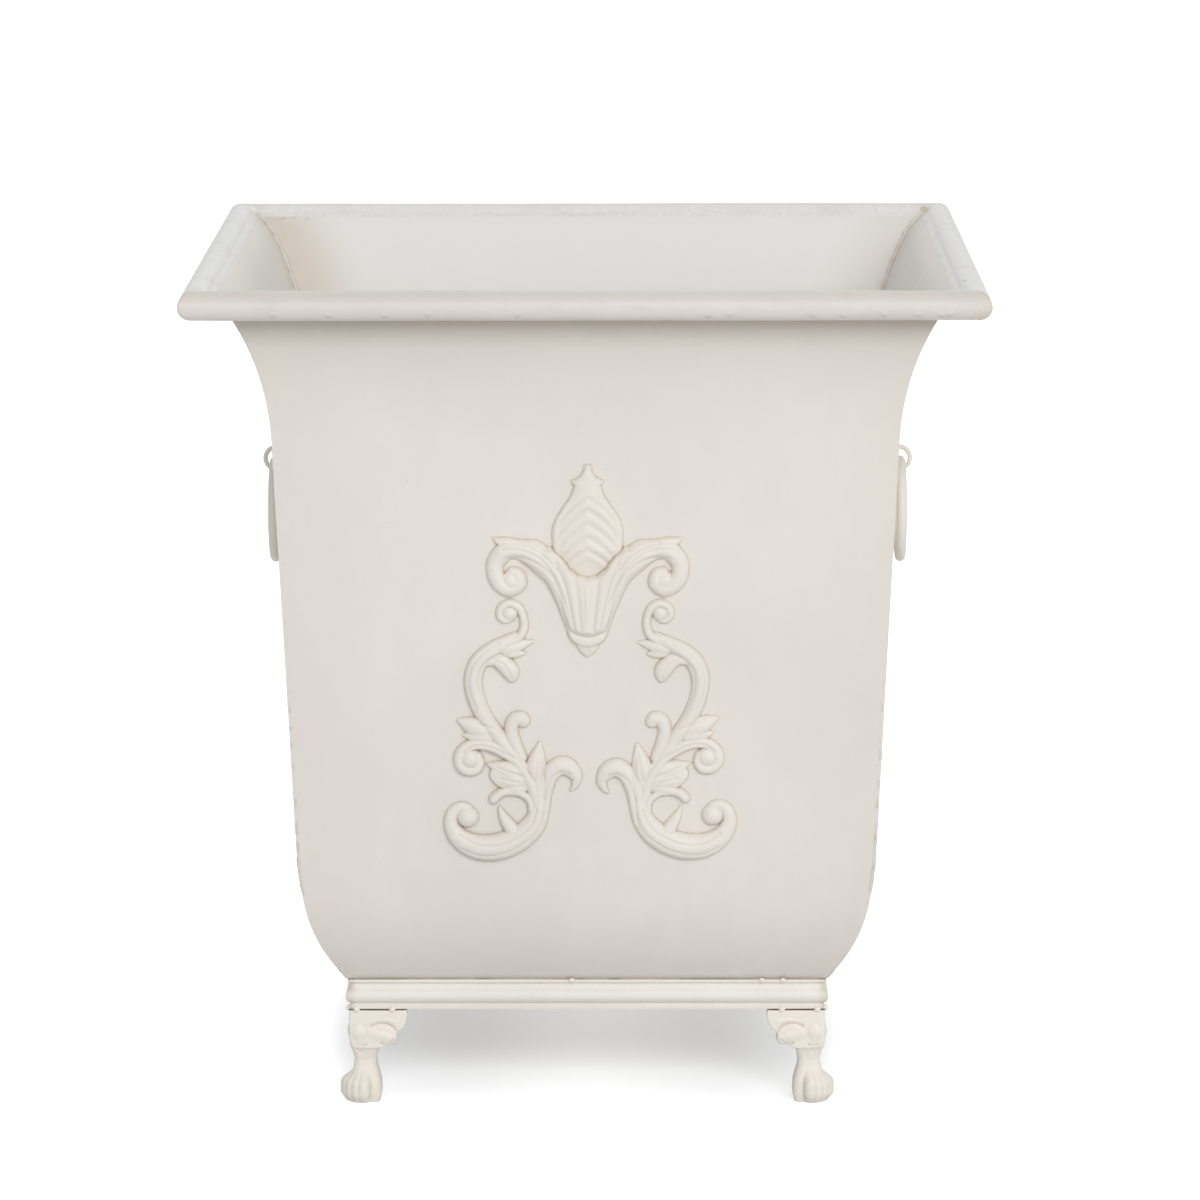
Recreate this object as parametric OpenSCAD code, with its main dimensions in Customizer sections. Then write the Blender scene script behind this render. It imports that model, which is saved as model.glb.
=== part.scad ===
// Square footed planter of painted sheet metal, with a tube rim, ring handles,
// stamped scroll ornaments on the front, a moulded base trim and cast paw feet.
// Frame: origin at the centre of the footprint on the floor, +Z up, the front faces -Y.

/* [Rim] */
// Width across the rim tube, left to right
rim_width = 406; // [390:1:440]
// Depth across the rim tube, front to back
rim_depth = 406; // [390:1:440]
// Height of the rim tube's centre above the floor
rim_height = 428.5; // [418:0.5:470]
// Outside diameter of the rim tube
tube_diameter = 15; // [12:0.5:18]
// Wall thickness of the rim tube
tube_wall = 1; // [0.8:0.1:1.6]

/* [Body walls] */
// Thickness of the body sheet
sheet = 1; // [0.8:0.1:1.6]
// Lean of the flat part of a wall from upright, in degrees
taper = 2.5; // [1.5:0.25:3.5]
// Lean of a wall where its top edge meets the rim tube, in degrees
lip_angle = 60; // [50:1:65]
// Radius of the short lip bend beside the tube
lip_radius = 28; // [22:1:34]
// Lean of a wall where the lip bend meets the long flare, in degrees
flare_angle = 29; // [24:1:34]
// Radius of the long flare under the rim
flare_radius = 148; // [120:1:165]
// Radius of the belly turn above the base
belly_radius = 130; // [115:1:150]
// Lean of a wall at its bottom edge, in degrees
belly_angle = 35.65; // [30:0.05:42]
// Leg of the square solder bead inside each corner
seam_bead = 2.4; // [1.6:0.1:3.2]

/* [Base] */
// Height of the moulded trim round the base
trim_height = 16; // [14:0.5:20]
// Depth of a trim strip, face to back
trim_depth = 12; // [10:0.5:15]
// How far the trim's ovolo stands out past the body's bottom edge
trim_proud = 0.25; // [0:0.05:1.5]
// Thickness of the bottom plate
floor_plate = 1.2; // [0.8:0.1:2]

/* [Feet] */
// Height of a cast foot
foot_height = 49.7; // [44:0.1:56]
// Reach of a foot's wing along the trim
wing_reach = 30.5; // [27:0.5:36]
// Thickness of a foot's wing
wing_thickness = 5.5; // [4.5:0.1:7]
// Radius of the leg at the ankle
ankle_radius = 5.8; // [5:0.1:7]
// Radius of one toe
toe_radius = 3.3; // [2.8:0.1:3.8]
// Number of toes on a paw
toes = 4; // [3:1:5]

/* [Ring handles] */
// Outside diameter of a ring
ring_diameter = 56.3; // [44:0.1:66]
// Diameter of the ring's wire
ring_wire = 5; // [4:0.1:6]
// Diameter of the eye's wire
eye_wire = 2.6; // [2:0.1:3]
// Radius of the eye's bend, on the wire's centre line
eye_bend = 6.1; // [5.8:0.1:8]
// Distance from the wall to the centre of the eye's bend
eye_reach = 8; // [6:0.5:12]
// Height of the eye on the side wall
eye_height = 321.8; // [300:0.1:335]
// Length of each leg that is bent flat inside the wall
clinch_length = 8; // [5:0.5:12]

/* [Ornaments] */
// Offset of the ornaments' centre line from the middle of the front wall
ornament_offset = 1; // [-5:0.5:5]
// Span of the palmette over its two scrolls
palmette_span = 104; // [90:1:116]
// Height of the palmette's shoulders above the floor
palmette_height = 300; // [292:0.5:305]
// Height of one side spray
spray_length = 138; // [120:1:142]
// Gap between the palmette's scrolls and the top curls of the sprays
ornament_gap = 1.8; // [0.5:0.1:6]
// Distance from the centre line to the middle of a spray
spray_spread = 39.5; // [38:0.5:46]
// Turn of the right-hand spray, in degrees
spray_turn = 2.5; // [0:0.25:4]

/* [Hidden] */

// Fineness of true round surfaces
$fn = 96;
// Clearances: solder film under a soldered piece, free play of a moving one
film = 0.1;
foot_gap = 0.3;
ring_play = 0.3;
hole_play = 0.15;
// A length that is surely outside the object
beyond = 700;

tube_radius = tube_diameter / 2;
base_bottom = foot_height + foot_gap;
base_top = base_bottom + trim_height;
// Setbacks of the trim's bottom and top fillets behind its ovolo
trim_bottom_setback = 2.2;
trim_top_setback = 1;
// Setback of a foot's corner behind the body's bottom edge
foot_setback = 1.35;
// Angle round the tube at which the wall's top edge is soldered to it
seat_angle = 12;

// The wall's outer surface, as inset from the rim's outer face against height
lip_top = [tube_radius + (tube_radius + film) * cos(seat_angle),
           rim_height + (tube_radius + film) * sin(seat_angle)];
lip_centre = lip_top - lip_radius * [cos(lip_angle), sin(lip_angle)];
flare_top = lip_centre + lip_radius * [cos(flare_angle), sin(flare_angle)];
flare_centre = flare_top - flare_radius * [cos(flare_angle), sin(flare_angle)];
flat_top = flare_centre + flare_radius * [cos(taper), sin(taper)];
belly_top_height = base_top + belly_radius * (sin(belly_angle) - sin(taper));
flat_bottom = [flat_top.x + (flat_top.y - belly_top_height) * tan(taper), belly_top_height];
belly_centre = flat_bottom + belly_radius * [cos(taper), sin(taper)];
base_inset = belly_centre.x - belly_radius * cos(belly_angle);

function flat_inset(height) = flat_top.x + (flat_top.y - height) * tan(taper);

// Sections are drawn with x as the inset from the rim and y as the height

// Points along an arc, a little over a degree apart; first = 1 leaves out its start
function arc(centre, radius, from, to, first = 0) =
    let (pieces = max(ceil(abs(to - from) / 1.25), 1))
    [for (i = [first : pieces])
        let (a = from + (to - from) * i / pieces)
        centre + radius * [cos(a), sin(a)]];

// The wall's line at a depth under its outer surface, from the lip down to a floor level
function wall_line(depth, floor_level) =
    let (bottom_angle = asin((belly_centre.y - floor_level) / (belly_radius - depth)))
    concat(arc(lip_centre, lip_radius + depth, lip_angle, flare_angle),
           arc(flare_centre, flare_radius + depth, flare_angle, taper, first = 1),
           arc(belly_centre, belly_radius - depth, 180 + taper, 180 + bottom_angle));

function backwards(p) = [for (i = [len(p) - 1 : -1 : 0]) p[i]];

// A band of the wall's section, between two depths under its outer surface
module wall_section(from_depth, to_depth, floor_level = base_top) {
    polygon(concat(wall_line(from_depth, floor_level),
                   backwards(wall_line(to_depth, floor_level))));
}

// A section swept along one side of the square and cut at 45 degrees at both ends
module mitred_side(along, across) {
    reach = min(along, across) / 2 - 1;
    intersection() {
        translate([-along / 2, -across / 2, 0])
            rotate([90, 0, 90])
                linear_extrude(along)
                    children();
        linear_extrude(beyond)
            polygon([[-along / 2, -across / 2], [along / 2, -across / 2],
                     [along / 2 - reach, reach - across / 2],
                     [reach - along / 2, reach - across / 2]]);
    }
}

// Puts a front-side piece on one of the four sides
module front_side() { mitred_side(rim_width, rim_depth) children(); }
module back_side() { rotate(180) mitred_side(rim_width, rim_depth) children(); }
module right_side() { rotate(90) mitred_side(rim_depth, rim_width) children(); }
module left_side() { rotate(-90) mitred_side(rim_depth, rim_width) children(); }

module wall_profile() { wall_section(0, sheet); }

module tube_profile() {
    translate([tube_radius, rim_height])
        difference() {
            circle(d = tube_diameter);
            circle(d = tube_diameter - 2 * tube_wall);
        }
}

// Trim moulding: bottom fillet, groove, broad ovolo, cove and top fillet
module trim_profile() {
    face = base_inset - trim_proud;
    groove_radius = 0.5;
    groove_level = base_bottom + 2.9;
    ovolo_low = groove_level + groove_radius;
    ovolo_high = base_top - 0.32 * trim_height;
    ovolo_rise = (ovolo_high - ovolo_low) / 2;
    ovolo_radius = (pow(ovolo_rise, 2) + pow(trim_bottom_setback, 2)) / (2 * trim_bottom_setback);
    top_fillet = 1.5;
    cove_radius = 1.7;
    difference() {
        union() {
            translate([face + trim_bottom_setback, base_bottom])
                square([trim_depth - trim_bottom_setback, trim_height]);
            translate([face + trim_top_setback, base_top - top_fillet])
                square([trim_depth - trim_top_setback, top_fillet]);
            intersection() {
                translate([face + ovolo_radius, (ovolo_low + ovolo_high) / 2])
                    circle(r = ovolo_radius);
                translate([face, ovolo_low])
                    square([trim_depth, ovolo_high - ovolo_low]);
            }
        }
        translate([face + trim_bottom_setback, groove_level])
            circle(r = groove_radius);
        translate([face + trim_top_setback + 0.3, base_top - top_fillet - cove_radius])
            circle(r = cove_radius);
    }
}

module front_wall() { color("#ded9d2") front_side() wall_profile(); }
module back_wall() { color("#ded9d2") back_side() wall_profile(); }

// A side wall has two holes for the legs of the handle's eye
module right_wall() {
    color("#ded9d2")
        difference() {
            right_side() wall_profile();
            at_right_eye() eye_leg_holes();
        }
}

module left_wall() { mirror([1, 0, 0]) right_wall(); }

module rim_tube_front() { color("#e2ddd6") front_side() tube_profile(); }
module rim_tube_back() { color("#e2ddd6") back_side() tube_profile(); }
module rim_tube_left() { color("#e2ddd6") left_side() tube_profile(); }
module rim_tube_right() { color("#e2ddd6") right_side() tube_profile(); }

module trim_front() { color("#dcd6cd") front_side() trim_profile(); }
module trim_back() { color("#dcd6cd") back_side() trim_profile(); }
module trim_left() { color("#dcd6cd") left_side() trim_profile(); }
module trim_right() { color("#dcd6cd") right_side() trim_profile(); }

// The plate lies on the trims, with its corners notched for the seams to pass
module bottom_plate() {
    inner_edge = base_inset + sheet / cos(belly_angle) + film;
    notch = (seam_bead + film) / cos(belly_angle);
    plate_width = rim_width - 2 * inner_edge;
    plate_depth = rim_depth - 2 * inner_edge;
    color("#cfc9c0")
        translate([0, 0, base_top])
            linear_extrude(floor_plate)
                difference() {
                    square([plate_width, plate_depth], center = true);
                    for (x = [-1, 1], y = [-1, 1])
                        translate([x * plate_width / 2, y * plate_depth / 2])
                            square(2 * notch, center = true);
                }
}

// A square bead that follows the inside of a corner from the trim to the lip
module corner_seam(turn_x, turn_y) {
    bottom = base_top + film;
    color("#d8d2c8")
        mirror([turn_x, 0, 0])
            mirror([0, turn_y, 0])
                intersection() {
                    translate([-rim_width / 2, -rim_depth / 2, 0])
                        rotate([90, 0, 90])
                            linear_extrude(rim_width / 2)
                                wall_section(sheet + film, sheet + film + seam_bead, bottom);
                    translate([-rim_width / 2, 0, 0])
                        rotate([90, 0, 0])
                            linear_extrude(rim_depth / 2)
                                wall_section(sheet + film, sheet + film + seam_bead, bottom);
                }
}

// Ring handles, drawn on the right and mirrored to the left

wall_x = rim_width / 2 - flat_inset(eye_height);
eye_centre = [wall_x + eye_reach * cos(taper), eye_height - eye_reach * sin(taper)];
// The ring hangs low and outward in the eye's bend
ring_seat_angle = -60;
ring_seat = eye_bend - eye_wire / 2 - ring_wire / 2 - ring_play;
ring_pivot = eye_centre + ring_seat * [cos(ring_seat_angle), sin(ring_seat_angle)];
ring_radius = (ring_diameter - ring_wire) / 2;
// Radius of the bend from an eye's leg into its tail, on the wire's centre line
eye_tail_bend = 2.2;
// The hinge line of a ring, printed for whoever moves it
echo(ring_pivot = ring_pivot, ring_centre_height = ring_pivot.y - ring_radius);

// Local frame: x out from the wall, z up along it, origin on the wall's outer face
module at_right_eye() {
    translate([wall_x, 0, eye_height])
        rotate([0, taper, 0])
            children();
}

module eye_leg_holes() {
    for (level = [-eye_bend, eye_bend])
        translate([-3 * sheet, 0, level])
            rotate([0, 90, 0])
                cylinder(d = eye_wire + 2 * hole_play, h = 6 * sheet);
}

// One leg: straight through the wall, then bent away along the inside
module eye_leg() {
    tail_x = -sheet - film - eye_wire / 2;
    rotate([0, 90, 0])
        translate([0, 0, tail_x + eye_tail_bend])
            cylinder(d = eye_wire, h = eye_reach - tail_x - eye_tail_bend);
    translate([tail_x + eye_tail_bend, 0, eye_tail_bend])
        rotate([90, 0, 0])
            rotate(180)
                rotate_extrude(angle = 90)
                    translate([eye_tail_bend, 0])
                        circle(d = eye_wire);
    translate([tail_x, 0, eye_tail_bend])
        cylinder(d = eye_wire, h = clinch_length);
}

module handle_eye_right() {
    color("#d8cfc1")
        at_right_eye() {
            translate([0, 0, eye_bend])
                eye_leg();
            translate([0, 0, -eye_bend])
                mirror([0, 0, 1])
                    eye_leg();
            translate([eye_reach, 0, 0])
                rotate([90, 0, 0])
                    rotate(-90)
                        rotate_extrude(angle = 180)
                            translate([eye_bend, 0])
                                circle(d = eye_wire);
        }
}

module handle_eye_left() { mirror([1, 0, 0]) handle_eye_right(); }

module handle_ring_right() {
    color("#d8cfc1")
        translate([ring_pivot.x, 0, ring_pivot.y - ring_radius])
            rotate([0, 90, 0])
                rotate_extrude()
                    translate([ring_radius, 0])
                        circle(d = ring_wire);
}

module handle_ring_left() { mirror([1, 0, 0]) handle_ring_right(); }

// Smooth curves through a few stations

function catmull(a, b, c, d, t) =
    0.5 * (2 * b + (c - a) * t + (2 * a - 5 * b + 4 * c - d) * t * t
           + (3 * b - a - 3 * c + d) * t * t * t);

function smooth(p, steps) =
    [for (i = [0 : len(p) - 2], j = [0 : steps - 1])
        catmull(p[max(i - 1, 0)], p[i], p[i + 1], p[min(i + 2, len(p) - 1)], j / steps),
     p[len(p) - 1]];

// Stations [x, y, half width] of a volute that winds in towards its eye
function volute(eye, r_from, r_to, a_from, a_to, w_from, w_to, turns) =
    [for (i = [0 : turns])
        let (t = i / turns, a = a_from + t * (a_to - a_from), r = r_from * pow(r_to / r_from, t))
        [eye.x + r * cos(a), eye.y + r * sin(a), w_from + t * (w_to - w_from)]];

// A half-round strand on the plane z = 0 that swells and tapers with its stations
module strand(stations, rise = 0.8, sides = 6) {
    last = len(stations) - 1;
    ring = sides + 1;
    points = [for (i = [0 : last])
        let (here = stations[i],
             step = stations[min(i + 1, last)] - stations[max(i - 1, 0)],
             run = norm([step.x, step.y]),
             side = [-step.y, step.x] / run)
        for (k = [0 : sides])
            let (a = 180 * k / sides)
            [here.x + side.x * here.z * cos(a), here.y + side.y * here.z * cos(a),
             rise * here.z * sin(a)]];
    faces = concat(
        [[for (k = [0 : sides]) k]],
        [[for (k = [sides : -1 : 0]) last * ring + k]],
        [for (i = [0 : last - 1], k = [0 : sides])
            let (a = i * ring + k, b = i * ring + (k + 1) % ring)
            [b, a, a + ring, b + ring]]);
    polyhedron(points = points, faces = faces);
}

// A low dome that leaves and eyes are hulled from
module dome(radius, height) {
    cylinder(r1 = radius, r2 = 0.45 * radius, h = height, $fn = 12);
}

// A pointed leaf from its base to its tip
module leaf(base, tip, half_width, height = 2.4) {
    belly = base + 0.35 * (tip - base);
    hull() {
        translate(base) dome(0.6 * half_width, height);
        translate(belly) dome(half_width, height);
        translate(tip) dome(0.5, 0.9);
    }
}

module on_front_wall(offset_x, height) {
    translate([offset_x, flat_inset(height) - rim_depth / 2, height])
        rotate([90 + taper, 0, 0])
            translate([0, 0, film])
                children();
}

// Palmette: a veined leaf that rises from a fluted bell with two scrolled arms

// The arm on the right-hand side, from inside the bell out to its volute's eye
palmette_arm = concat(
    [[7, -46, 2.6], [8.8, -37, 4], [11.4, -26, 5], [15.6, -15, 6.6], [22.6, -5.3, 7.2],
     [31, -0.8, 6]],
    volute([38.6, -15], 13.7, 4, 88, -245, 5.4, 3.1, 9));

module palmette_half() {
    strand(smooth(palmette_arm, 2), rise = 0.8, sides = 8);
    strand(smooth([[2.6, -45, 2.2], [5, -30, 3], [8.6, -14, 3.6], [13.4, -5, 2.6]], 3), rise = 1.7);
    // The bell's wall behind its flutes
    strand([[3, -45, 6], [5.4, -30, 6.4], [9, -12, 8]], rise = 0.3);
    // Fold where the arm turns over into its scroll
    hull() {
        translate([38, 2.6, 0]) dome(2.8, 3);
        translate([44.6, 2.9, 0]) dome(1.6, 3);
    }
    // Bud at the leaf's neck
    hull() {
        translate([5, 33, 0]) dome(2, 2.4);
        translate([7, 32.6, 0]) dome(1.1, 2);
    }
    for (vein = [0 : 3])
        hull() {
            translate([0, 24 - 8 * vein, 0]) dome(1.4, 6.2);
            translate([9.5 + 1.6 * sin(60 * vein), 14.5 - 8 * vein, 0]) dome(1.2, 4.6);
        }
}

// The span that the palmette is drawn at, and the drop from its shoulders to its scrolls' foot
palmette_drawn_span = 104;
palmette_scroll_drop = 26.7;
palmette_scale = palmette_span / palmette_drawn_span;

module palmette_ornament() {
    color("#d9cfc0")
        on_front_wall(ornament_offset, palmette_height)
            scale(palmette_scale) {
                palmette_half();
                mirror([1, 0, 0]) palmette_half();
                strand(smooth([[0, -15, 8], [0, -8, 13], [0, 2, 17.4], [0, 11, 17.4],
                               [0, 20, 12.6], [0, 27, 7.2], [0, 33, 5.4], [0, 41, 0.8]], 2),
                       rise = 0.3, sides = 8);
                strand(smooth([[0, -46, 1.6], [0, -34, 4.2], [0, -20, 5.2], [0, -14, 4]], 3),
                       rise = 1.3);
                strand(smooth([[-9.8, -45.5, 1.2], [-5, -46.2, 2.2], [5, -46.2, 2.2],
                               [9.8, -45.5, 1.2]], 2),
                       rise = 2);
                strand([[0, -45, 8.6], [0, -48, 7.8], [0, -51.6, 5.4], [0, -55.4, 2], [0, -57, 0.6]],
                       rise = 0.55);
            }
}

// Side spray: scrolls and acanthus leaves on one running stem, drawn for the left

spray_stem = [[-1, 47, 2.6], [-10, 43.5, 3.4], [-17, 37, 4.2], [-19.2, 27, 4.3], [-17.5, 16, 3.9],
              [-12, 5, 3.3], [-4, -7, 3.2], [4, -18, 3.4], [10, -28, 3.6]];
spray_top_curl = concat([[3, 46, 2.6]], volute([1.2, 60.2], 7.2, 2.2, -48, 235, 2.7, 2, 8));
spray_side_curl = concat([[6, -20, 2.6], [-3, -11, 3], [-12, -7, 3]],
                         volute([-19.8, -16], 9.2, 4.4, 80, 385, 2.8, 2.4, 9));
spray_small_curl = [[2, -8, 2.6], [2, 1, 3], [3.4, 7, 3.2], [7.6, 6.2, 2.8], [8.2, 3.2, 1.8]];
spray_hook = [[17, -35, 3.4], [20, -25, 3.8], [25, -20.6, 4.4], [31, -21, 4.2], [34.5, -26, 3],
              [31.6, -32.6, 0.8]];
spray_finger = [[5, -52, 1.6], [10.5, -44, 2.4], [8, -35, 2.8], [0, -31.6, 2.8], [-7, -34.5, 3],
                [-8.6, -39.6, 1.4]];
spray_big_scroll = concat(
    [[16, -27, 3.4], [15.5, -38, 4.6], [12.6, -49, 5.8], [4.5, -58, 6.4], [-6, -63, 7],
     [-16.4, -63.6, 7]],
    volute([-22.8, -49.6], 10.8, 3.4, 252, -40, 6, 2.2, 9));

module spray() {
    strand(smooth(spray_stem, 2), rise = 1);
    strand(smooth(spray_top_curl, 1), rise = 1);
    strand(smooth(spray_side_curl, 1), rise = 1);
    strand(smooth(spray_small_curl, 2), rise = 1.1);
    strand(smooth(spray_hook, 2), rise = 0.9);
    strand(smooth(spray_finger, 2), rise = 1);
    strand(smooth(spray_big_scroll, 1), rise = 0.65);
    leaf([-4, 42], [13, 46.6], 2.4);
    leaf([-1, 41], [4, 26], 4.2, 3.2);
    leaf([-14, 2], [-22.6, 8], 2.8);
    leaf([11, -26], [15.8, -8], 3.4, 3);
    leaf([3, -24], [-8, -20], 3.6);
    leaf([2, -29], [-4.5, -28.6], 3.2);
    leaf([1.5, -54], [-5, -40], 2.2);
    leaf([12, -42], [21, -20], 2.6, 3.4);
    hull() {
        translate([-21.6, -49.4, 0]) dome(2.4, 2.6);
        translate([-19.6, -51.4, 0]) dome(2, 2.6);
    }
}

// The length that a spray is drawn at, and the rise from its middle to its top curl's crown
spray_drawn_length = 138;
spray_crown_rise = 66.5;
spray_scale = spray_length / spray_drawn_length;
// A spray's crown stands a gap below the palmette's scrolls
spray_height = palmette_height - palmette_scroll_drop * palmette_scale - ornament_gap
    - spray_crown_rise * spray_scale;

module spray_ornament_left() {
    color("#d9cfc0")
        on_front_wall(ornament_offset - spray_spread, spray_height)
            scale(spray_scale)
                spray();
}

module spray_ornament_right() {
    color("#d9cfc0")
        on_front_wall(ornament_offset + spray_spread, spray_height)
            rotate(spray_turn)
                mirror([1, 0, 0])
                    scale(spray_scale)
                        spray();
}

// Cast paw foot, with its corner at the origin and its wings along +X and +Y

foot_inset = base_inset + foot_setback;
// Outline of a wing: along the trim and up from the floor, hooked at its end
wing_drawn_reach = 30.5;
wing_drawn_top = 49.7;
wing_scale = wing_reach / wing_drawn_reach;
wing_outline = [[0, 49.7], [0, 44], [0, 36], [1, 31.6], [5, 29.6], [11, 28.6], [16.4, 28.8],
                [18.6, 30.4], [23.2, 31.6], [24.8, 34], [24.8, 37], [28.4, 40], [30.2, 44.6],
                [30.5, 48], [29.4, 49.7]];

// The wing's plate, then the volute and the leaf fold carved on its face
module foot_wing() {
    top_down = foot_height - wing_drawn_top;
    rotate([90, 0, 0])
        mirror([0, 0, 1])
            linear_extrude(wing_thickness)
                polygon([for (p = smooth(wing_outline, 2))
                    [p.x > 14 ? 14 + (p.x - 14) * wing_scale : p.x, p.y + top_down]]);
    translate([18.4 * wing_scale, 0.4, foot_height - 14.6])
        scale([5.8, 1.3, 3.6])
            sphere(r = 1, $fn = 12);
    hull() {
        translate([14.6 * wing_scale, 0.3, foot_height - 8.8]) sphere(r = 0.9, $fn = 8);
        translate([20 * wing_scale, 0.3, foot_height - 7.6]) sphere(r = 1.2, $fn = 8);
    }
    hull() {
        translate([20 * wing_scale, 0.3, foot_height - 7.6]) sphere(r = 1.2, $fn = 8);
        translate([25 * wing_scale, 0.3, foot_height - 10]) sphere(r = 0.8, $fn = 8);
    }
}

// One softly squared section of the leg, from near to far along both wings
module leg_section(level, near, far, rounding) {
    translate([0, 0, level])
        linear_extrude(0.2)
            for (x = [near, far], y = [near, far])
                translate([x + sign(8 - x) * rounding, y + sign(8 - y) * rounding])
                    circle(r = rounding, $fn = 8);
}

module leg_stretch(low, high) {
    hull() {
        leg_section(low[0], low[1], low[2], low[3]);
        leg_section(high[0], high[1], high[2], high[3]);
    }
}

module foot() {
    // The leg's middle, and how near and far its faces lie at the ankle
    middle = 8.5;
    near = middle - ankle_radius;
    far = middle + ankle_radius;
    knee = foot_height - 13;
    leg = [
        [0, near + 0.6, far - 0.6, 3.6],
        [4, near - 0.8, far + 2, 4.6],
        [11, near - 0.8, far + 1.6, 4.6],
        [17.6, near - 0.7, far, 4],
        [22.5, near, far - 0.3, 4],
        [knee - 9.5, near - 1, far + 0.8, 3],
        [knee - 6, 0.3, far + 1.2, 2],
        [foot_height - 0.2, 0.1, far + 1.6, 0.6]
    ];
    knuckle_reach = 9.1;
    spread = 24;
    intersection() {
        union() {
            foot_wing();
            mirror([1, -1, 0]) foot_wing();
            for (i = [0 : len(leg) - 2])
                leg_stretch(leg[i], leg[i + 1]);
            // Knee, swelling a little past both wings
            translate([6, 6, knee + 0.6])
                scale([6.8, 6.8, 7])
                    sphere(r = 1, $fn = 16);
            // Toes fan about the diagonal: knuckle high and forward, tip tucked in below
            for (i = [0 : toes - 1])
                translate([middle, middle, 0])
                    rotate(225 + (i - (toes - 1) / 2) * spread)
                        hull() {
                            translate([3.4, 0, 14.4]) sphere(r = toe_radius - 0.5, $fn = 10);
                            translate([knuckle_reach, 0, 9.2]) sphere(r = toe_radius, $fn = 10);
                            translate([knuckle_reach - 0.7, 0, 5])
                                sphere(r = toe_radius - 0.1, $fn = 10);
                            translate([knuckle_reach - 3.4, 0, 2.4])
                                sphere(r = toe_radius - 0.9, $fn = 10);
                        }
        }
        translate([-beyond / 2, -beyond / 2, 0])
            cube([beyond, beyond, foot_height]);
    }
}

// Puts a corner piece at one of the four corners, mirrored from front left
module at_corner(turn_x, turn_y, inset) {
    mirror([turn_x, 0, 0])
        mirror([0, turn_y, 0])
            translate([inset - rim_width / 2, inset - rim_depth / 2, 0])
                children();
}

module corner_foot(turn_x, turn_y) {
    color("#d9d0c3")
        at_corner(turn_x, turn_y, foot_inset)
            foot();
}

// Solder tacks over the gap between the feet and the trim, four to a foot
module foot_solder_tacks() {
    tack_radius = 1.7;
    reach = 2 * tack_radius;
    trim_setback = trim_bottom_setback - trim_proud - foot_setback;
    color("#d9d0c3")
        for (turn_x = [0, 1], turn_y = [0, 1], swap = [0, 1], along = [4, 22.5 * wing_scale])
            at_corner(turn_x, turn_y, foot_inset)
                mirror([swap, -swap, 0])
                    intersection() {
                        translate([along, 0, base_bottom])
                            sphere(r = tack_radius);
                        union() {
                            translate([along - reach, -reach, base_bottom - reach])
                                cube([2 * reach, reach - film, 2 * reach]);
                            translate([along - reach, -reach, foot_height + film])
                                cube([2 * reach, reach + trim_setback - film, reach]);
                        }
                    }
}

// Solder tacks where the belly's bottom edge meets the trim
tacks_front = [-8, 91, 102];
tacks_plain = [-60, 60];

module side_tacks(across, places) {
    tack_radius = 1.5;
    block = 4 * tack_radius;
    fillet_step = trim_top_setback - trim_proud;
    for (place = places)
        translate([place, base_inset - across / 2, base_top])
            difference() {
                sphere(r = tack_radius);
                translate([-block / 2, fillet_step - film, -block])
                    cube([block, block, block + film]);
                rotate([belly_angle, 0, 0])
                    translate([-block / 2, -film, -block / 2])
                        cube([block, block, block]);
            }
}

module trim_solder_tacks() {
    color("#d9d0c3") {
        side_tacks(rim_depth, tacks_front);
        rotate(180) side_tacks(rim_depth, tacks_plain);
        rotate(90) side_tacks(rim_width, tacks_plain);
        rotate(-90) side_tacks(rim_width, tacks_plain);
    }
}

front_wall();
back_wall();
left_wall();
right_wall();
bottom_plate();
rim_tube_front();
rim_tube_back();
rim_tube_left();
rim_tube_right();
corner_seam(0, 0);  // corner_seam_front_left
corner_seam(1, 0);  // corner_seam_front_right
corner_seam(0, 1);  // corner_seam_back_left
corner_seam(1, 1);  // corner_seam_back_right
trim_front();
trim_back();
trim_left();
trim_right();
corner_foot(0, 0);  // foot_front_left
corner_foot(1, 0);  // foot_front_right
corner_foot(0, 1);  // foot_back_left
corner_foot(1, 1);  // foot_back_right
foot_solder_tacks();
trim_solder_tacks();
handle_eye_left();
handle_eye_right();
handle_ring_left();
handle_ring_right();
palmette_ornament();
spray_ornament_left();
spray_ornament_right();
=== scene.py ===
# %% [markdown]
# A square planter of painted sheet steel, about 41 cm wide and 44 cm high. Four curved wall
# panels meet at mitred corners under a rim of round tube. A moulded trim and four cast paw feet
# carry it, a free ring hangs on each side, and three pressed scroll ornaments dress the front.
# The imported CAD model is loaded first. It never moves: every piece below is built round it.

# %% Load the fixed frame
import bmesh
import bpy
import math
import numpy as np
from mathutils import Matrix, Vector, noise


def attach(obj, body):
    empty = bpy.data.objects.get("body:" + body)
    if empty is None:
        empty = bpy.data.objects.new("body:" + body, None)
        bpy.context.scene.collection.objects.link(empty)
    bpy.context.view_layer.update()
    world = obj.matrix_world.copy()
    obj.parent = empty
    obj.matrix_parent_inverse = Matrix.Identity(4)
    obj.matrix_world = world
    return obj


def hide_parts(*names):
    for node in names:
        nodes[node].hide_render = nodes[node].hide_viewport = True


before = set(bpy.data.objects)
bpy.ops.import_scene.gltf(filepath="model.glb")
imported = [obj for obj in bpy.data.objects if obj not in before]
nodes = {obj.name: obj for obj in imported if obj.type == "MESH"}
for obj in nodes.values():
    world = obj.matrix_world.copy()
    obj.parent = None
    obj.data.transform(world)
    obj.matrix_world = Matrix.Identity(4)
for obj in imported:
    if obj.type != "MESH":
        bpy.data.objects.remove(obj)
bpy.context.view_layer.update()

MM = 0.001
HALF_RIM = 203.0
TAPER = 2.5

# %% [markdown]
# The camera stands where the photographer stood: 3.2 metres away, about seven degrees above
# the rim and tilted ten degrees down, with a long lens. Its three directions come from a yaw, a
# pitch and a small roll, so the picture's frame is the photograph's frame.

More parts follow.
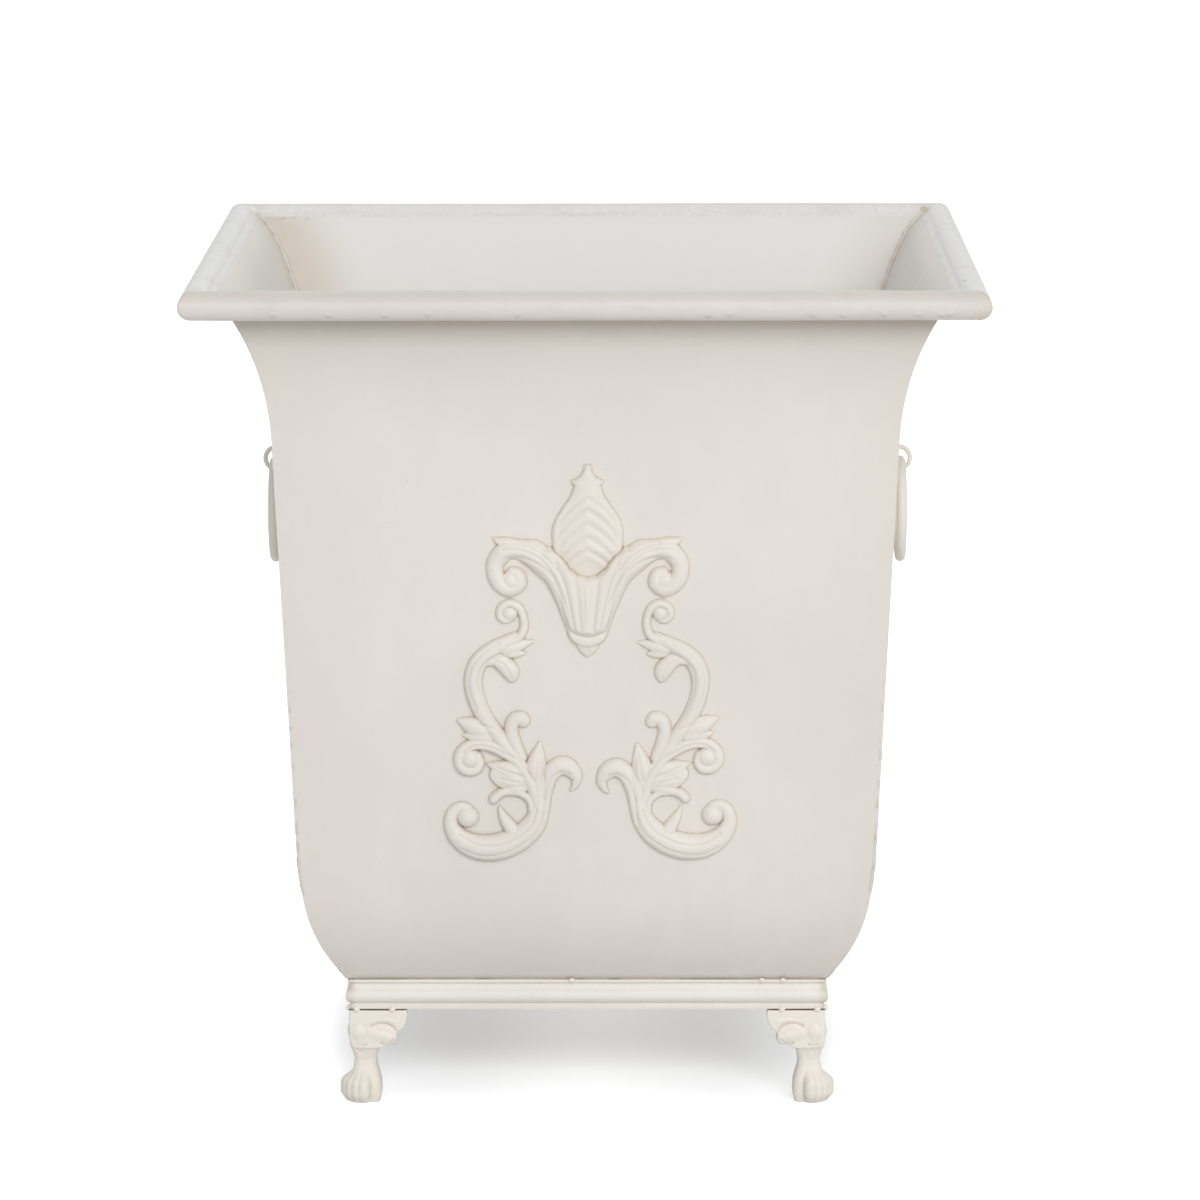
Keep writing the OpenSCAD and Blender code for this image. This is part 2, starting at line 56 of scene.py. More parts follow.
# %% Camera
YAW, PITCH, ROLL = -0.0049486, 0.1770772, -0.0015422
FOCAL_PIXELS, FRAME_PIXELS = 6027.255, 1200
CAMERA_PLACE = (0.0222, -3.1783, 0.8132)

ahead = Vector((math.sin(YAW) * math.cos(PITCH), math.cos(YAW) * math.cos(PITCH), -math.sin(PITCH)))
level = Vector((math.cos(YAW), -math.sin(YAW), 0.0))
upward = level.cross(ahead)
across = math.cos(ROLL) * level + math.sin(ROLL) * upward
upright = -math.sin(ROLL) * level + math.cos(ROLL) * upward

camera_data = bpy.data.cameras.new("camera")
camera_data.sensor_width = 36.0
camera_data.lens = camera_data.sensor_width * FOCAL_PIXELS / FRAME_PIXELS
camera_data.clip_end = 60.0
camera = bpy.data.objects.new("camera", camera_data)
bpy.context.scene.collection.objects.link(camera)
camera.matrix_world = Matrix.Translation(CAMERA_PLACE) @ Matrix(
    (across, upright, -ahead)).transposed().to_4x4()
bpy.context.scene.camera = camera
print("camera lens", round(camera_data.lens, 2), "mm")

# %% [markdown]
# Materials are written as sums. A Flow wraps one socket and knows the arithmetic signs, so
# `1 - mask` adds a Math node. A Finish makes every other node from its type, its settings and the
# values or links of its inputs. Colours are mixed with Mix nodes, because a Math node greys them.

# %% Sockets that can be reckoned with
class Flow:
    """One value running through a material."""

    def __init__(self, socket):
        self.socket = socket

    def maths(self, operation, first, second, clamp=False):
        tree = self.socket.id_data
        node = tree.nodes.new("ShaderNodeMath")
        node.operation = operation
        node.use_clamp = clamp
        for socket, value in zip(node.inputs, (first, second)):
            if isinstance(value, Flow):
                tree.links.new(value.socket, socket)
            else:
                socket.default_value = value
        return Flow(node.outputs[0])

    def __add__(self, other):
        return self.maths("ADD", self, other)

    def __radd__(self, other):
        return self.maths("ADD", other, self)

    def __sub__(self, other):
        return self.maths("SUBTRACT", self, other)

    def __rsub__(self, other):
        return self.maths("SUBTRACT", other, self)

    def __mul__(self, other):
        return self.maths("MULTIPLY", self, other)

    def __rmul__(self, other):
        return self.maths("MULTIPLY", other, self)

    def __truediv__(self, other):
        return self.maths("DIVIDE", self, other)

    def clamped(self):
        return self.maths("ADD", self, 0.0, clamp=True)

    def absolute(self):
        return self.maths("ABSOLUTE", self, 0.0)

    def smallest(self, other):
        return self.maths("MINIMUM", self, other)

    def largest(self, other):
        return self.maths("MAXIMUM", self, other)


class Finish:
    """A material, and the one way in which its nodes are made."""

    def __init__(self, name):
        self.material = bpy.data.materials.new(name)
        self.material.use_nodes = True
        self.tree = self.material.node_tree
        self.shader = self.tree.nodes["Principled BSDF"]

    def feed(self, socket, value):
        if isinstance(value, Flow):
            self.tree.links.new(value.socket, socket)
        else:
            socket.default_value = value

    def node(self, kind, settings=(), inputs=(), output=0):
        node = self.tree.nodes.new("ShaderNode" + kind)
        for key, value in dict(settings).items():
            setattr(node, key, value)
        for key, value in dict(inputs).items():
            self.feed(node.inputs[key], value)
        return Flow(node.outputs[output])

    def place(self):
        """The point in the object's own coordinates, which here are the frame's."""
        return self.node("TexCoord", output=3)

    def stretched(self, place, scale):
        return self.node("Mapping", {}, {"Vector": place, "Scale": scale})

    def cloud(self, place, scale, detail, roughness):
        return self.node("TexNoise", {}, {"Vector": place, "Scale": scale, "Detail": detail,
                                          "Roughness": roughness})

    def between(self, value, low, high):
        """0 at low, 1 at high, smooth in between."""
        return self.node("MapRange", {"interpolation_type": "SMOOTHSTEP"},
                         {0: value, 1: low, 2: high, 3: 0.0, 4: 1.0})

    def blended(self, share, first, second):
        return self.node("Mix", {"data_type": "RGBA"}, {0: share, 6: first, 7: second}, output=2)

    def attribute(self, name):
        return self.node("Attribute", {"attribute_name": name}, output=2)

    def coordinates(self, place):
        split = self.tree.nodes.new("ShaderNodeSeparateXYZ")
        self.feed(split.inputs[0], place)
        return [Flow(socket) for socket in split.outputs]

    def finish(self, **inputs):
        for key, value in inputs.items():
            self.feed(self.shader.inputs[key.replace("_", " ")], value)
        return self.material


# %% [markdown]
# The paint is one ivory cream all over, brushed and rubbed by hand. It is mottled a few hundredths
# lighter and darker, a tan wash lies in corners and hollows, and a few specks and nicks show the
# metal's brown. Some masks paint light and shade into the colour as well: painted shade under the
# rim, in corners and in gaps, painted reflection on the side and back tubes and the upper inside,
# and a lighter cream on the feet, which stand in shade. Each family of pieces gets its own share
# of these, so one recipe makes them all.

# %% Cream paint
CREAM = (0.775, 0.740, 0.688, 1.0)
WARM = (0.680, 0.615, 0.535, 1.0)
TAN = (0.540, 0.420, 0.300, 1.0)
BROWN = (0.130, 0.075, 0.045, 1.0)
UMBER = (0.300, 0.200, 0.130, 1.0)
CHALK = (0.850, 0.848, 0.828, 1.0)
SHADE = (0.430, 0.360, 0.290, 1.0)
DUST = (0.500, 0.470, 0.430, 1.0)
PALE_CREAM = (0.860, 0.820, 0.750, 1.0)
SEAM_CREAM = (0.700, 0.670, 0.620, 1.0)
RIM_CREAM = (0.725, 0.690, 0.640, 1.0)
TRIM_CREAM = (0.840, 0.814, 0.758, 1.0)
# The feet's cream is lighter than the rest as painted light, since they stand in shade under the
# planter
LIT_FOOT_CREAM = (0.880, 0.830, 0.755, 1.0)
ORNAMENT_CREAM = (0.800, 0.760, 0.700, 1.0)


def cream_paint(name, base=CREAM, wash_and_shade_strength=0.0, stains_and_light=None, wear=0.25, grain=(1.0, 1.0, 1.0), bump=0.25,
                smudge=0.0, wash_and_shade_colour=TAN, line=0.6, blotch=0.9):
    """Cream paint; one strength sets how much tan wash and painted shade fill the wash mask, four
    more masks add stains and painted light.
    """
    paint = Finish(name)
    place = paint.place()
    x, y, z = paint.coordinates(place)
    # Slow drift, mottle and fine grain, at 7, 60 and 900 clouds to the metre
    drift = paint.cloud(place, 7.0, 3.0, 0.55)
    mottle = paint.cloud(paint.stretched(place, grain), 60.0, 5.0, 0.6)
    fine = paint.cloud(place, 900.0, 3.0, 0.6)
    lighter = tuple(min(1.06 * c, 1.0) for c in base)
    colour = paint.blended(paint.between(drift, 0.3, 0.7), base, lighter)
    colour = paint.blended(0.5 * paint.between(mottle, 0.35, 0.75), colour, base)
    if wash_and_shade_strength:
        # The wash mask holds a tan wash in hollows and, on some pieces, painted shade under and
        # between parts
        wash_and_shade = paint.attribute("wash_and_shade")
        patchy = (1.0 - 0.5 * blotch) + blotch * paint.cloud(place, 160.0, 4.0, 0.6)
        colour = paint.blended((wash_and_shade_strength * wash_and_shade * patchy).clamped(), colour, wash_and_shade_colour)
        deep = paint.between(wash_and_shade, 0.72, 1.0) * paint.between(patchy, 0.75, 1.1)
        colour = paint.blended((line * deep).clamped(), colour, UMBER)
    if stains_and_light:
        for mask, tint in zip(stains_and_light(paint, place, x, y, z), (CHALK, WARM, TAN, BROWN)):
            colour = paint.blended(mask.clamped(), colour, tint)
    if smudge:
        streak = paint.cloud(paint.stretched(place, (1.0, 1.0, 2.5)), 34.0, 6.0, 0.7)
        colour = paint.blended((smudge * paint.between(streak, 0.5, 0.72)).clamped(), colour, DUST)
    speck_noise = paint.cloud(place, 420.0, 2.0, 0.5)
    speck_area = paint.cloud(place, 23.0, 2.0, 0.5)
    specks = paint.between(speck_noise + 0.35 * speck_area, 0.965, 0.995)
    colour = paint.blended(wear * specks, colour, BROWN)
    height = 0.6 * mottle + 0.4 * fine
    normal = paint.node("Bump", {}, {"Strength": bump, "Distance": 0.0004, "Height": height})
    gloss = 0.44 + 0.18 * mottle + 0.06 * fine
    return paint.finish(Base_Color=colour, Roughness=gloss, Normal=normal)


def spot(paint, place, point, radius, ragged=0.5):
    """1 within a ragged patch round a point given in mm."""
    away = paint.node("VectorMath", {"operation": "DISTANCE"},
                      {0: place, 1: tuple(MM * c for c in point)}, output=1)
    rough = paint.cloud(place, 0.8 / (radius * MM), 4.0, 0.6)
    reach = away / (radius * MM) + ragged * (rough - 0.5)
    return 1.0 - paint.between(reach, 0.75, 1.15)


def spots(paint, place, patches, ragged=0.5):
    """Several spots at once; a patch is a point and a radius."""
    whole = spot(paint, place, *patches[0], ragged)
    for patch in patches[1:]:
        whole = whole.largest(spot(paint, place, *patch, ragged))
    return whole


# Nicks in the paint: point and radius
WALL_NICKS = (((-26.7, -152.0, 177.4), 0.75), ((30.1, -151.8, 182.0), 0.55),
              ((-176.6, 184.0, 426.6), 0.6))
RIM_NICKS = (((181.5, -197.0, 434.5), 0.9), ((192.0, -150.0, 435.0), 1.1))


def wall_stains_and_light(paint, place, x, y, z):
    """Warmer paint near the corners; inside, warmer and darker towards the corners, partly stain
    and partly painted shade; pale paint on the upper inside as painted reflection; rust flecks
    under the back rim, scuffs inside, three nicks.
    """
    corner = (x.absolute() - y.absolute()).absolute()
    patch = paint.cloud(place, 14.0, 4.0, 0.6)
    edge = (1.0 - paint.between(corner, 0.0, 0.05)) * paint.between(patch, 0.3, 0.6)
    inside = paint.attribute("inside")
    corner_stain_and_shade = inside * (1.0 - paint.between(corner, 0.004, 0.046)) * (0.4 + patch)
    # The back-left inside corner gets much more stain and painted shade than the right one
    left_share = 1.0 - 0.7 * paint.between(x, 0.0, 0.05)
    warm = 0.2 * edge + 0.75 * corner_stain_and_shade * left_share
    # Rust flecks in a strip under the back rim, near its left end
    drawn_out = paint.stretched(place, (0.5, 1.0, 1.0))
    flecks = paint.between(paint.cloud(drawn_out, 420.0, 4.0, 0.7), 0.5, 0.58)
    along = paint.between(x, -0.184, -0.179) * (1.0 - paint.between(x, -0.158, -0.150))
    lip = paint.between(z, 0.4276, 0.4288) * paint.between(y, 0.1, 0.11)
    rust = 0.75 * flecks * along * lip
    rust = rust.largest(0.8 * spot(paint, place, (187.5, 187.0, 431.5), 1.6))
    # Scuffs only on the inside of the side walls
    side = paint.between(x.absolute() - y.absolute(), 0.0, 0.002) * inside
    scuffs = paint.between(paint.cloud(place, 75.0, 6.0, 0.75), 0.52, 0.66) * side
    nicks = spots(paint, place, WALL_NICKS, 0.3)
    # Painted reflection: the upper inside, mostly of the back wall, is mixed towards pale chalk, as
    # are the scuffs
    return (0.8 * inside).largest(0.8 * scuffs), warm, rust, nicks


def rim_stains_and_light(paint, place, x, y, z):
    """Painted reflection on the side and back tubes: paler, cooler paint with highlight streaks;
    painted shade on the top of the front tube; a little rust in the corners, dirt and nicks.
    """
    corner = (x.absolute() - y.absolute()).absolute()
    patch = paint.cloud(place, 30.0, 4.0, 0.6)
    front_side = 0.0 - y - x.absolute()
    painted_reflection = 1.0 - paint.between(front_side, -0.0006, 0.0006)
    warm = 0.5 * (1.0 - paint.between(corner, 0.0, 0.012)) * paint.between(patch, 0.4, 0.6)
    # Painted shade: a slightly browner, darker band on the upper part of the front tube
    front = paint.between(front_side, 0.0, 0.0006) * paint.between(z, 0.4295, 0.4325)
    front = front * (1.0 - paint.between(z, 0.4348, 0.4358))
    warm = warm.largest(0.2 * front)
    rust = 0.7 * spot(paint, place, (187.7, 189.5, 433.4), 2.2)
    nicks = spots(paint, place, RIM_NICKS)
    # Painted highlights: pale streaks along the tubes
    highlight_streaks = paint.cloud(paint.stretched(place, (1.0, 0.05, 1.0)), 700.0, 4.0, 0.7)
    sideways = 0.55 + 0.35 * paint.between(x.absolute(), 0.186, 0.190)
    painted_reflection = painted_reflection * (sideways + 0.3 * paint.between(highlight_streaks, 0.42, 0.6))
    return painted_reflection, warm, rust, (0.6 * nicks).largest(0.085 * front)


def plate_edge_shade(paint, place, x, y, z):
    """The bottom plate is painted brown along its edges, where the walls hide it, as painted shade
    in the gap above the trim.
    """
    edge = paint.between(x.absolute().largest(y.absolute()), 0.1200, 0.1225)
    patch = paint.between(paint.cloud(place, 30.0, 4.0, 0.7), 0.42, 0.58)
    nothing = 0.0 * edge
    return nothing, edge, edge, 0.7 * edge * patch


# On the walls the wash is painted shade, in the shade colour, under the rim and in the inside
# corners
body_paint = cream_paint("body_paint", wash_and_shade_strength=0.85, wash_and_shade_colour=SHADE, line=0.0, blotch=0.3,
                         stains_and_light=wall_stains_and_light, wear=0.1, grain=(1.0, 1.0, 0.4), bump=0.18)
seam_paint = cream_paint("seam_paint", base=SEAM_CREAM, wash_and_shade_strength=0.7, bump=0.4)
plate_paint = cream_paint("plate_paint", stains_and_light=plate_edge_shade)
rim_paint = cream_paint("rim_paint", base=RIM_CREAM, stains_and_light=rim_stains_and_light, wash_and_shade_strength=0.6,
                        bump=0.2, smudge=0.22)
moulding_paint = cream_paint("moulding_paint", base=TRIM_CREAM, wash_and_shade_strength=0.6, line=0.45, bump=0.2)
casting_paint = cream_paint("casting_paint", base=LIT_FOOT_CREAM, wash_and_shade_strength=0.7, bump=0.8)
handle_paint = cream_paint("handle_paint", base=PALE_CREAM, wear=0.6, bump=0.3)
ornament_paint = cream_paint("ornament_paint", base=ORNAMENT_CREAM, wash_and_shade_strength=0.75, bump=0.2)
print("paints:", ", ".join(m.name for m in bpy.data.materials if m.use_nodes))


# %% [markdown]
# A few workshop helpers come next. `turn_on` and `slide_on` sweep what was made last, about an
# axis or along a line, so that a section is drawn as a maker would describe it: straight, then
# round this centre by so many degrees. `finished` turns a bmesh into a piece of the planter.

# %% Workshop helpers
def in_section(inset, height):
    """A point of the front side's section: inset from the rim's face, and height, in mm."""
    return Vector((0.0, inset - HALF_RIM, height)) * MM


def limited(value):
    return min(max(value, 0.0), 1.0)


def hump(away, width):
    """1 at no distance, and next to nothing two widths away."""
    return np.exp(-(away / width) ** 2)


def corner_name(back, right):
    return ("back" if back else "front") + "_" + ("right" if right else "left")


def turn_on(bm, geometry, centre, degrees, steps, axis=(1, 0, 0)):
    spun = bmesh.ops.spin(bm, geom=geometry, cent=centre, axis=axis, angle=math.radians(degrees),
                          steps=steps)
    return spun["geom_last"]


def slide_on(bm, geometry, travel, steps=1):
    spun = bmesh.ops.spin(bm, geom=geometry, cent=(0, 0, 0), axis=(1, 0, 0), angle=0.0,
                          dvec=Vector(travel) / steps, steps=steps)
    return spun["geom_last"]


def everything(bm):
    return bm.verts[:] + bm.edges[:] + bm.faces[:]


def edges_of(geometry):
    return [g for g in geometry if isinstance(g, bmesh.types.BMEdge)]


def open_edges(bm):
    return [e for e in bm.edges if e.is_boundary]


def face_out(bm):
    bmesh.ops.recalc_face_normals(bm, faces=bm.faces)


def mitre(bm, gap=0.02):
    """Cut a front-side sweep at 45 degrees at both ends, and close the cuts."""
    for lean in (-1, 1):
        cut = bmesh.ops.bisect_plane(bm, geom=everything(bm), dist=1e-7, plane_co=(0, -gap * MM, 0),
                                     plane_no=(lean, 1, 0), clear_outer=True)
        bmesh.ops.holes_fill(bm, edges=edges_of(cut["geom_cut"]), sides=0)


def add_object(name, mesh):
    thing = bpy.data.objects.new(name, mesh)
    bpy.context.scene.collection.objects.link(thing)
    return thing


def bmesh_of(mesh):
    bm = bmesh.new()
    bm.from_mesh(mesh)
    return bm


def join_on(bm, part):
    """Add a part to a bmesh, and free the part."""
    mesh = bpy.data.meshes.new("part")
    part.to_mesh(mesh)
    part.free()
    bm.from_mesh(mesh)
    bpy.data.meshes.remove(mesh)


def object_from(bm, name):
    mesh = bpy.data.meshes.new(name)
    bm.to_mesh(mesh)
    bm.free()
    return add_object(name, mesh)


def shown_mesh(thing):
    bpy.context.view_layer.update()
    shown = thing.evaluated_get(bpy.context.evaluated_depsgraph_get())
    return bpy.data.meshes.new_from_object(shown)


def settle(thing):
    """Replace a piece's mesh by what its modifiers make of it."""
    mesh = shown_mesh(thing)
    thing.modifiers.clear()
    old = thing.data
    thing.data = mesh
    bpy.data.meshes.remove(old)
    mesh.name = thing.name
    return thing


def soften(thing, width, segments=2, angle=35):
    """A small round on the sharp edges, then settled."""
    bevel = thing.modifiers.new("round", "BEVEL")
    bevel.width = width * MM
    bevel.segments = segments
    bevel.limit_method = "ANGLE"
    bevel.angle_limit = math.radians(angle)
    return settle(thing)


def finished(thing, paint, slot, *replaced, body="planter", crease=40):
    """Paint a piece, shade it smooth between its creases and put it on its body."""
    mesh = thing.data
    mesh.materials.clear()
    mesh.materials.append(paint)
    mesh.shade_smooth()
    mesh.set_sharp_from_angle(angle=math.radians(crease))
    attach(thing, body)
    if replaced:
        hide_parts(*replaced)
    print(thing.name, len(mesh.polygons), "faces")
    return thing


SIDES = {"front": 0, "right": 90, "back": 180, "left": -90}


def turn_to_side(bm, side):
    """Turn what was built as the front round to its own side."""
    bmesh.ops.rotate(bm, verts=bm.verts, cent=(0, 0, 0),
                     matrix=Matrix.Rotation(math.radians(SIDES[side]), 3, "Z"))


# %% [markdown]
# Each wall is one sheet: a short lip over the rim tube, a long flare, a flat that leans in by two
# and a half degrees, and the belly's turn under. A vertex is spun round the centre of each bend to
# draw that line, and the line is slid along the side. Sheet this thin never lies dead flat, so
# slow waves are pushed in, fading out at its soldered edges, before it gets its 1 mm thickness.

# %% Wall panels
LIP_TOP, LIP_CENTRE = (14.934, 430.080), (0.934, 405.831)
FLARE_CENTRE = (-104.021, 347.654)
FLAT_TOP, FLAT_BOTTOM = (43.839, 354.110), (53.358, 136.097)
BELLY_CENTRE = (183.234, 141.768)
# Radii of the bends, the angles at which lip and flare begin, and how far the belly turns
LIP_RADIUS, FLARE_RADIUS, BELLY_RADIUS = 28.0, 148.0, 130.0
LIP_START, FLARE_START, BELLY_TURN = 60.0, 29.0, 33.0
BASE_TOP = 66.0
SHEET = 1.0
# How far the real sheet is drawn in from the clean section at a few heights
DRAWN_HEIGHTS = (66, 70, 73.5, 78.6, 88, 98, 107, 120, 137, 160, 240, 330)
DRAWN_IN = (1.8, 1.0, 0.5, 0.1, -0.25, -0.25, 0.1, 0.8, 0.7, 0.45, 0.35, 0.0)
# How much painted shade the wall gets under the rim, at a few heights
SHADED_HEIGHTS = (380, 392, 398, 406, 412, 418, 421)
SHADED_UNDER_RIM = (0, 0.05, 0.1, 0.16, 0.34, 0.62, 1.0)


def wave(point, seed, size, depth):
    """Slow unevenness of hammered and soldered sheet, in metres."""
    return depth * MM * noise.noise(point / size + Vector((seed, 7.1, 3.3)))


def wall_panel(side):
    bm = bmesh.new()
    half = 0.195
    tip = bm.verts.new(in_section(*LIP_TOP) + Vector((-half, 0, 0)))
    last = turn_on(bm, [tip], in_section(*LIP_CENTRE), FLARE_START - LIP_START, 8)
    last = turn_on(bm, last, in_section(*FLARE_CENTRE), TAPER - FLARE_START, 16)
    down = in_section(*FLAT_BOTTOM) - in_section(*FLAT_TOP)
    last = slide_on(bm, last, down, 40)
    turn_on(bm, last, in_section(*BELLY_CENTRE), BELLY_TURN, 20)
    slide_on(bm, everything(bm), (2 * half, 0, 0), 66)
    bm.normal_update()
    seed = 10.0 + SIDES[side]
    for vertex in bm.verts:
        corner = abs(vertex.co.y) - abs(vertex.co.x)
        height = vertex.co.z / MM
        # The waves fade out towards the soldered edges
        hold = limited(corner / 0.05) * limited((height - 70) / 40) * limited((425 - height) / 30)
        push = wave(vertex.co, seed, 0.11, 0.55) + wave(vertex.co, seed + 5, 0.045, 0.12)
        vertex.co += vertex.normal * push * hold
        vertex.co.y += MM * float(np.interp(height, DRAWN_HEIGHTS, DRAWN_IN))
    panel = object_from(bm, "wall_panel_" + side)
    sheet = panel.modifiers.new("sheet", "SOLIDIFY")
    sheet.thickness = SHEET * MM
    sheet.offset = -1.0
    sheet.use_even_offset = True
    settle(panel)
    bm = bmesh_of(panel.data)
    mitre(bm)
    bm.normal_update()
    layer = bm.verts.layers.float.new("wash_and_shade")
    inner = bm.verts.layers.float.new("inside")
    sideways = side in ("left", "right")
    for vertex in bm.verts:
        corner = abs(vertex.co.y) - abs(vertex.co.x)
        height = vertex.co.z / MM
        # Outside, painted shade under the rim; inside, painted shade in the corners and over the
        # side walls, and a mask for the upper inside
        if vertex.normal.y < 0:
            vertex[layer] = float(np.interp(height, SHADED_HEIGHTS, SHADED_UNDER_RIM))
        else:
            shaded = 0.06 if sideways else 0.0
            vertex[layer] = shaded + 0.2 * hump(corner, 0.005)
            vertex[inner] = limited((height - 200) / 80) * (0.2 if sideways else 1.0)
    turn_to_side(bm, side)
    bm.to_mesh(panel.data)
    bm.free()
    soften(panel, 0.22, 1, 50)
    return finished(panel, body_paint, "body_paint", side + "_wall", crease=50)


for side in SIDES:
    wall_panel(side)

# %% [markdown]
# Solder runs down the inside of every corner. It never lies as a clean line: a curve follows the
# wall's own section on the diagonal, and noise shifts its points and swells its thickness.

# %% Corner seams
BEAD_DEPTH, BEAD_RADIUS = 1.7, 1.3
POINT_GAP = 1.5


def wall_line(depth):
    """Points (inset, height) down the wall, at a depth under its outer face.

    The line stops a little short of the sheet's edge at both ends.
    """
    line = []
    for centre, radius, start, end in (
            (LIP_CENTRE, LIP_RADIUS + depth, LIP_START - 1, FLARE_START),
            (FLARE_CENTRE, FLARE_RADIUS + depth, FLARE_START, TAPER)):
        count = int(math.radians(start - end) * radius / POINT_GAP)
        for i in range(count):
            a = math.radians(start + (end - start) * i / count)
            line.append((centre[0] + radius * math.cos(a), centre[1] + radius * math.sin(a)))
    count = int((FLAT_TOP[1] - FLAT_BOTTOM[1]) / POINT_GAP)
    for i in range(count):
        height = FLAT_TOP[1] + (FLAT_BOTTOM[1] - FLAT_TOP[1]) * i / count
        drop = FLAT_TOP[1] - height
        line.append((FLAT_TOP[0] + depth + drop * math.tan(math.radians(TAPER)), height))
    radius = BELLY_RADIUS - depth
    last = 49
    for i in range(last + 1):
        a = math.radians(180 + TAPER + (BELLY_TURN - 0.2) * i / last)
        line.append((BELLY_CENTRE[0] + radius * math.cos(a),
                     BELLY_CENTRE[1] + radius * math.sin(a)))
    return line


def corner_bead(back, right):
    name = corner_name(back, right)
    curve = bpy.data.curves.new("bead", "CURVE")
    curve.dimensions = "3D"
    curve.bevel_depth = BEAD_RADIUS * MM
    curve.bevel_resolution = 3
    curve.use_fill_caps = True
    path = curve.splines.new("POLY")
    line = wall_line(BEAD_DEPTH)
    path.points.add(len(line) - 1)
    for point, (inset, height) in zip(path.points, line):
        seed = Vector((height * (0.16 - 0.07 * back * right), 10.0 * back, 10.0 * right))
        lump_size = noise.noise(seed) + 0.6 * noise.noise(seed * 2.7)
        shift = 0.3 * noise.noise(seed * 1.3 + Vector((5, 5, 5)))
        x = (1 if right else -1) * (HALF_RIM - inset + shift)
        y = (1 if back else -1) * (HALF_RIM - inset - shift)
        point.co = (x * MM, y * MM, height * MM, 1.0)
        point.radius = min(1.0 + 0.3 * lump_size, 1.15)
    path_object = add_object("bead_path", curve)
    mesh = shown_mesh(path_object)
    bpy.data.objects.remove(path_object)
    bm = bmesh_of(mesh)
    bpy.data.meshes.remove(mesh)
    bmesh.ops.remove_doubles(bm, verts=bm.verts, dist=1e-6)
    face_out(bm)
    layer = bm.verts.layers.float.new("wash_and_shade")
    for vertex in bm.verts:
        vertex[layer] = limited(0.1 + 0.8 * noise.noise(vertex.co * 350.0))
    return finished(object_from(bm, "solder_bead_" + name), seam_paint, "body_paint",
                    "corner_seam_" + name, crease=80)


CORNERS = [(back, right) for back in (0, 1) for right in (0, 1)]
for back, right in CORNERS:
    corner_bead(back, right)

# %% [markdown]
# The rim is round tube, mitred and brazed at the corners, so a thin line shows across each corner.
# A circle is slid along the side and cut at 45 degrees. Along the front tube's lower face sit
# thirteen small blisters under the paint, which are pushed out of the mesh one by one. Each gets a
# small painted shadow below it, and the tube's underside by the wall gets painted shade.

# %% Rim tubes
TUBE_RADIUS, RIM_HEIGHT = 7.5, 428.5
SOLDER_FILLET = ((17.0, 429.3), (17.4, 429.75), (15.94, 430.72), (14.94, 431.44), (14.29, 431.96))
BLISTERS = (-155.6, -127.7, -99.8, -78.4, -33.6, 61.4, 71.9, 113.2, 128.1, 149.0, 165.9, 177.4,
            181.3)
BLISTER_HEIGHT = 425.0


def at_mm(vertex):
    """The inset and height, in mm, of a vertex of a front-side section."""
    return vertex.co.y / MM + HALF_RIM, vertex.co.z / MM


def rim_tube(side):
    bm = bmesh.new()
    half = 0.206
    start = bm.verts.new(in_section(13.995, 432.25) + Vector((-half, 0, 0)))
    last = turn_on(bm, [start], in_section(TUBE_RADIUS, RIM_HEIGHT), 342, 54)
    for inset, height in SOLDER_FILLET:
        last = slide_on(bm, last, in_section(inset, height) - in_section(*at_mm(last[0])))
    bm.edges.new((last[0], start))
    slide_on(bm, everything(bm), (2 * half, 0, 0), 412 if side == "front" else 137)
    face_out(bm)
    bm.normal_update()
    seed = 40.0 + SIDES[side]
    for vertex in bm.verts:
        push = wave(vertex.co, seed, 0.06, 0.16)
        if side == "front":
            for number, place in enumerate(BLISTERS):
                away_x = vertex.co.x / MM - place
                if abs(away_x) > 4 or vertex.co.y > -0.1965:
                    continue
                away_z = vertex.co.z / MM - BLISTER_HEIGHT + 0.35 * (number % 3 - 1)
                push += 0.6 * MM * hump(away_x, 1.4) * hump(away_z, 0.9)
                push -= 0.35 * MM * hump(away_x, 1.8) * hump(away_z + 1.7, 0.8)
        vertex.co += vertex.normal * push
    mitre(bm)
    layer = bm.verts.layers.float.new("wash_and_shade")
    for vertex in bm.verts:
        inset, height = at_mm(vertex)
        # Painted shade on the tube's underside by the wall, and a painted shadow under each blister
        tube_underside_shade = hump(inset - 13.5, 3.5) * limited((425.5 - height) / 3)
        over = 0.12 * hump(inset - 15.2, 1.6) * (height > 428)
        crossing = 0.75 * hump(abs(vertex.co.y) - abs(vertex.co.x), 0.0011)
        blister_shadow = 0.0
        if side == "front":
            nearest = min(abs(vertex.co.x / MM - place) for place in BLISTERS)
            blister_shadow = 0.8 * hump(nearest, 1.5) * hump(height - 423.4, 0.6)
        vertex[layer] = min(tube_underside_shade + over + crossing + blister_shadow, 1.0)
    turn_to_side(bm, side)
    tube = soften(object_from(bm, "rim_bead_" + side), 0.28, 2)
    return finished(tube, rim_paint, "moulding_paint", "rim_tube_" + side, crease=60)


for side in SIDES:
    rim_tube(side)

# %% [markdown]
# The base trim is a strip of moulding with a broad ovolo between a groove and a cove. Its section
# is drawn with the same few moves as the wall's, joined up, slid along the side and mitred.

# %% Trim strips
TRIM_FACE = 77.345
TRIM_LOW, TRIM_BACK = 50.0, 89.345


